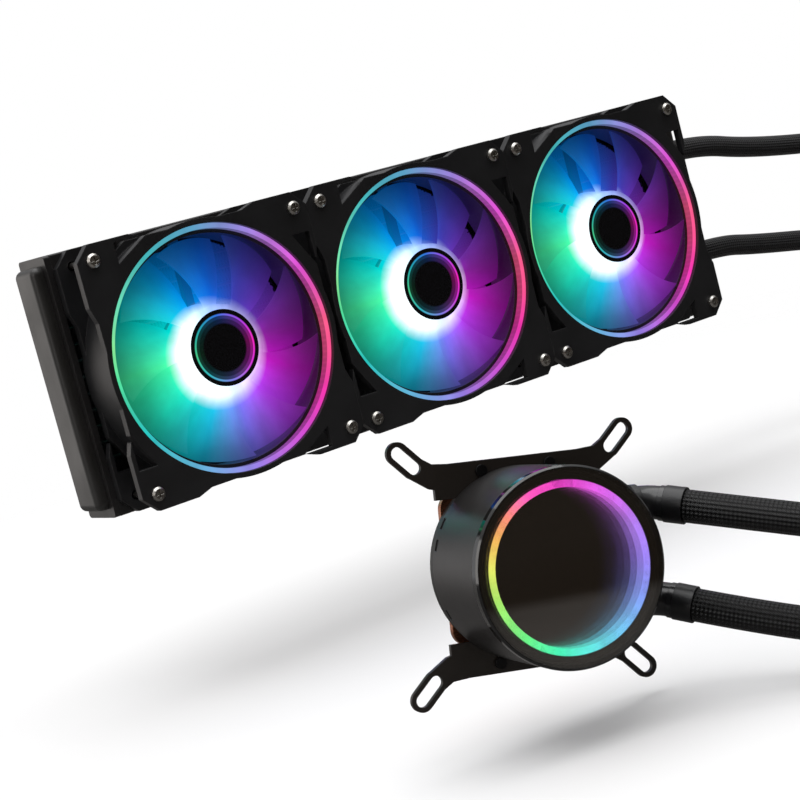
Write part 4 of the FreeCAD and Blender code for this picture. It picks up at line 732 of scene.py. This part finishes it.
def pale_floor():
    """Pale matt floor that thins out into the white surroundings; in glossy reflections it shows a painted
    reflection, dark brown with a grey zone past a slanted line.
    """
    shade = Shade("floor_pale")
    mottle = shade.noise(3.0)
    shade.set(Base_Color=shade.mix(mottle, (0.87, 0.87, 0.87), (0.90, 0.90, 0.90)), Roughness=0.8)
    dim = shade.node("ShaderNodeBsdfDiffuse")
    split = shade.node("ShaderNodeSeparateXYZ")
    shade.link(shade.node("ShaderNodeTexCoord").outputs["Object"], split.inputs[0])
    # Painted reflection: to glossy rays the floor is dim brown, with a grey zone past a slanted line
    reflected_room_brown = (0.016, 0.011, 0.007)
    grey = (0.13, 0.125, 0.12)
    slant = shade.math("ADD", split.outputs["Y"], shade.math("MULTIPLY", split.outputs["X"], -1.1))
    near = shade.spread(slant, 0.0, 1.0, -0.60, -0.55)
    shade.link(shade.mix(near, reflected_room_brown, grey), dim.inputs["Color"])
    clear = shade.node("ShaderNodeBsdfTransparent")
    ray = shade.node("ShaderNodeLightPath")
    seen = shade.node("ShaderNodeMixShader")
    shade.link(ray.outputs["Is Glossy Ray"], seen.inputs[0])
    shade.link(shade.bsdf.outputs[0], seen.inputs[1])
    shade.link(dim.outputs[0], seen.inputs[2])
    place = shade.node("ShaderNodeTexCoord").outputs["Object"]
    away = shade.spread(shade.vector("LENGTH", place), 0.0, 1.0, FADE_START, FADE_END)
    fade = shade.node("ShaderNodeMixShader")
    shade.link(away, fade.inputs[0])
    shade.link(seen.outputs[0], fade.inputs[1])
    shade.link(clear.outputs[0], fade.inputs[2])
    shade.link(fade.outputs[0], shade.out.inputs["Surface"])
    return shade.mat


floor_mesh.materials.append(pale_floor())


def softbox(name, at, aim, width, height, power, colour=(1.0, 1.0, 1.0)):
    data = bpy.data.lights.new(name, "AREA")
    data.shape = "RECTANGLE"
    data.size = width
    data.size_y = height
    data.energy = power
    data.color = colour
    lamp = bpy.data.objects.new(name, data)
    lamp.location = at
    lamp.rotation_mode = "QUATERNION"
    lamp.rotation_quaternion = (Vector(aim) - Vector(at)).to_track_quat("-Z", "Y")
    bpy.context.scene.collection.objects.link(lamp)


softbox("overhead", (0.0, -0.1, 2.6), (0, -0.1, 0), 3.2, 3.2, 62)
softbox("left_back", (-1.5, 2.1, 0.4), (-0.15, 0, 0), 1.4, 1.6, 9, (1.0, 0.93, 0.87))
softbox("left_front", (-2.4, -0.6, 0.7), (-0.1, -0.1, 0), 0.9, 1.4, 10, (1.0, 0.96, 0.93))


def studio():
    """White to the camera, and for the lighting a pale ceiling, grey behind and a dim warm room in front."""
    front_colour = (0.030, 0.025, 0.020, 1)
    rear_colour = (0.42, 0.42, 0.43, 1)
    ceiling_colour = (0.85, 0.85, 0.86, 1)
    front_share = 0.22
    ceiling_start = 0.30
    ceiling_full = 0.90
    world = bpy.data.worlds.new("studio")
    bpy.context.scene.world = world
    world.use_nodes = True
    tree = world.node_tree
    tree.nodes.clear()
    add = tree.nodes.new
    link = tree.links.new
    direction = add("ShaderNodeTexCoord")
    split = add("ShaderNodeSeparateXYZ")
    link(direction.outputs["Generated"], split.inputs[0])
    facing = add("ShaderNodeMapRange")
    facing.inputs["From Min"].default_value = -1.0
    link(split.outputs["Y"], facing.inputs["Value"])
    walls = add("ShaderNodeValToRGB")
    band = walls.color_ramp.elements
    band[0].position = front_share
    band[0].color = front_colour
    band[1].position = 1.0
    band[1].color = rear_colour
    link(facing.outputs[0], walls.inputs["Fac"])
    height = add("ShaderNodeMapRange")
    height.inputs["From Min"].default_value = ceiling_start
    height.inputs["From Max"].default_value = ceiling_full
    height.interpolation_type = "SMOOTHSTEP"
    link(split.outputs["Z"], height.inputs["Value"])
    ceiling = add("ShaderNodeMix")
    ceiling.data_type = "RGBA"
    link(height.outputs[0], ceiling.inputs[0])
    link(walls.outputs["Color"], ceiling.inputs[6])
    ceiling.inputs[7].default_value = ceiling_colour
    room = add("ShaderNodeBackground")
    link(ceiling.outputs[2], room.inputs["Color"])
    white = add("ShaderNodeBackground")
    white.inputs["Color"].default_value = (1.0, 1.0, 1.0, 1)
    ray = add("ShaderNodeLightPath")
    blend = add("ShaderNodeMixShader")
    link(ray.outputs["Is Camera Ray"], blend.inputs[0])
    link(room.outputs[0], blend.inputs[1])
    link(white.outputs[0], blend.inputs[2])
    output = add("ShaderNodeOutputWorld")
    link(blend.outputs[0], output.inputs["Surface"])


studio()
bpy.context.scene.view_settings.view_transform = "Standard"
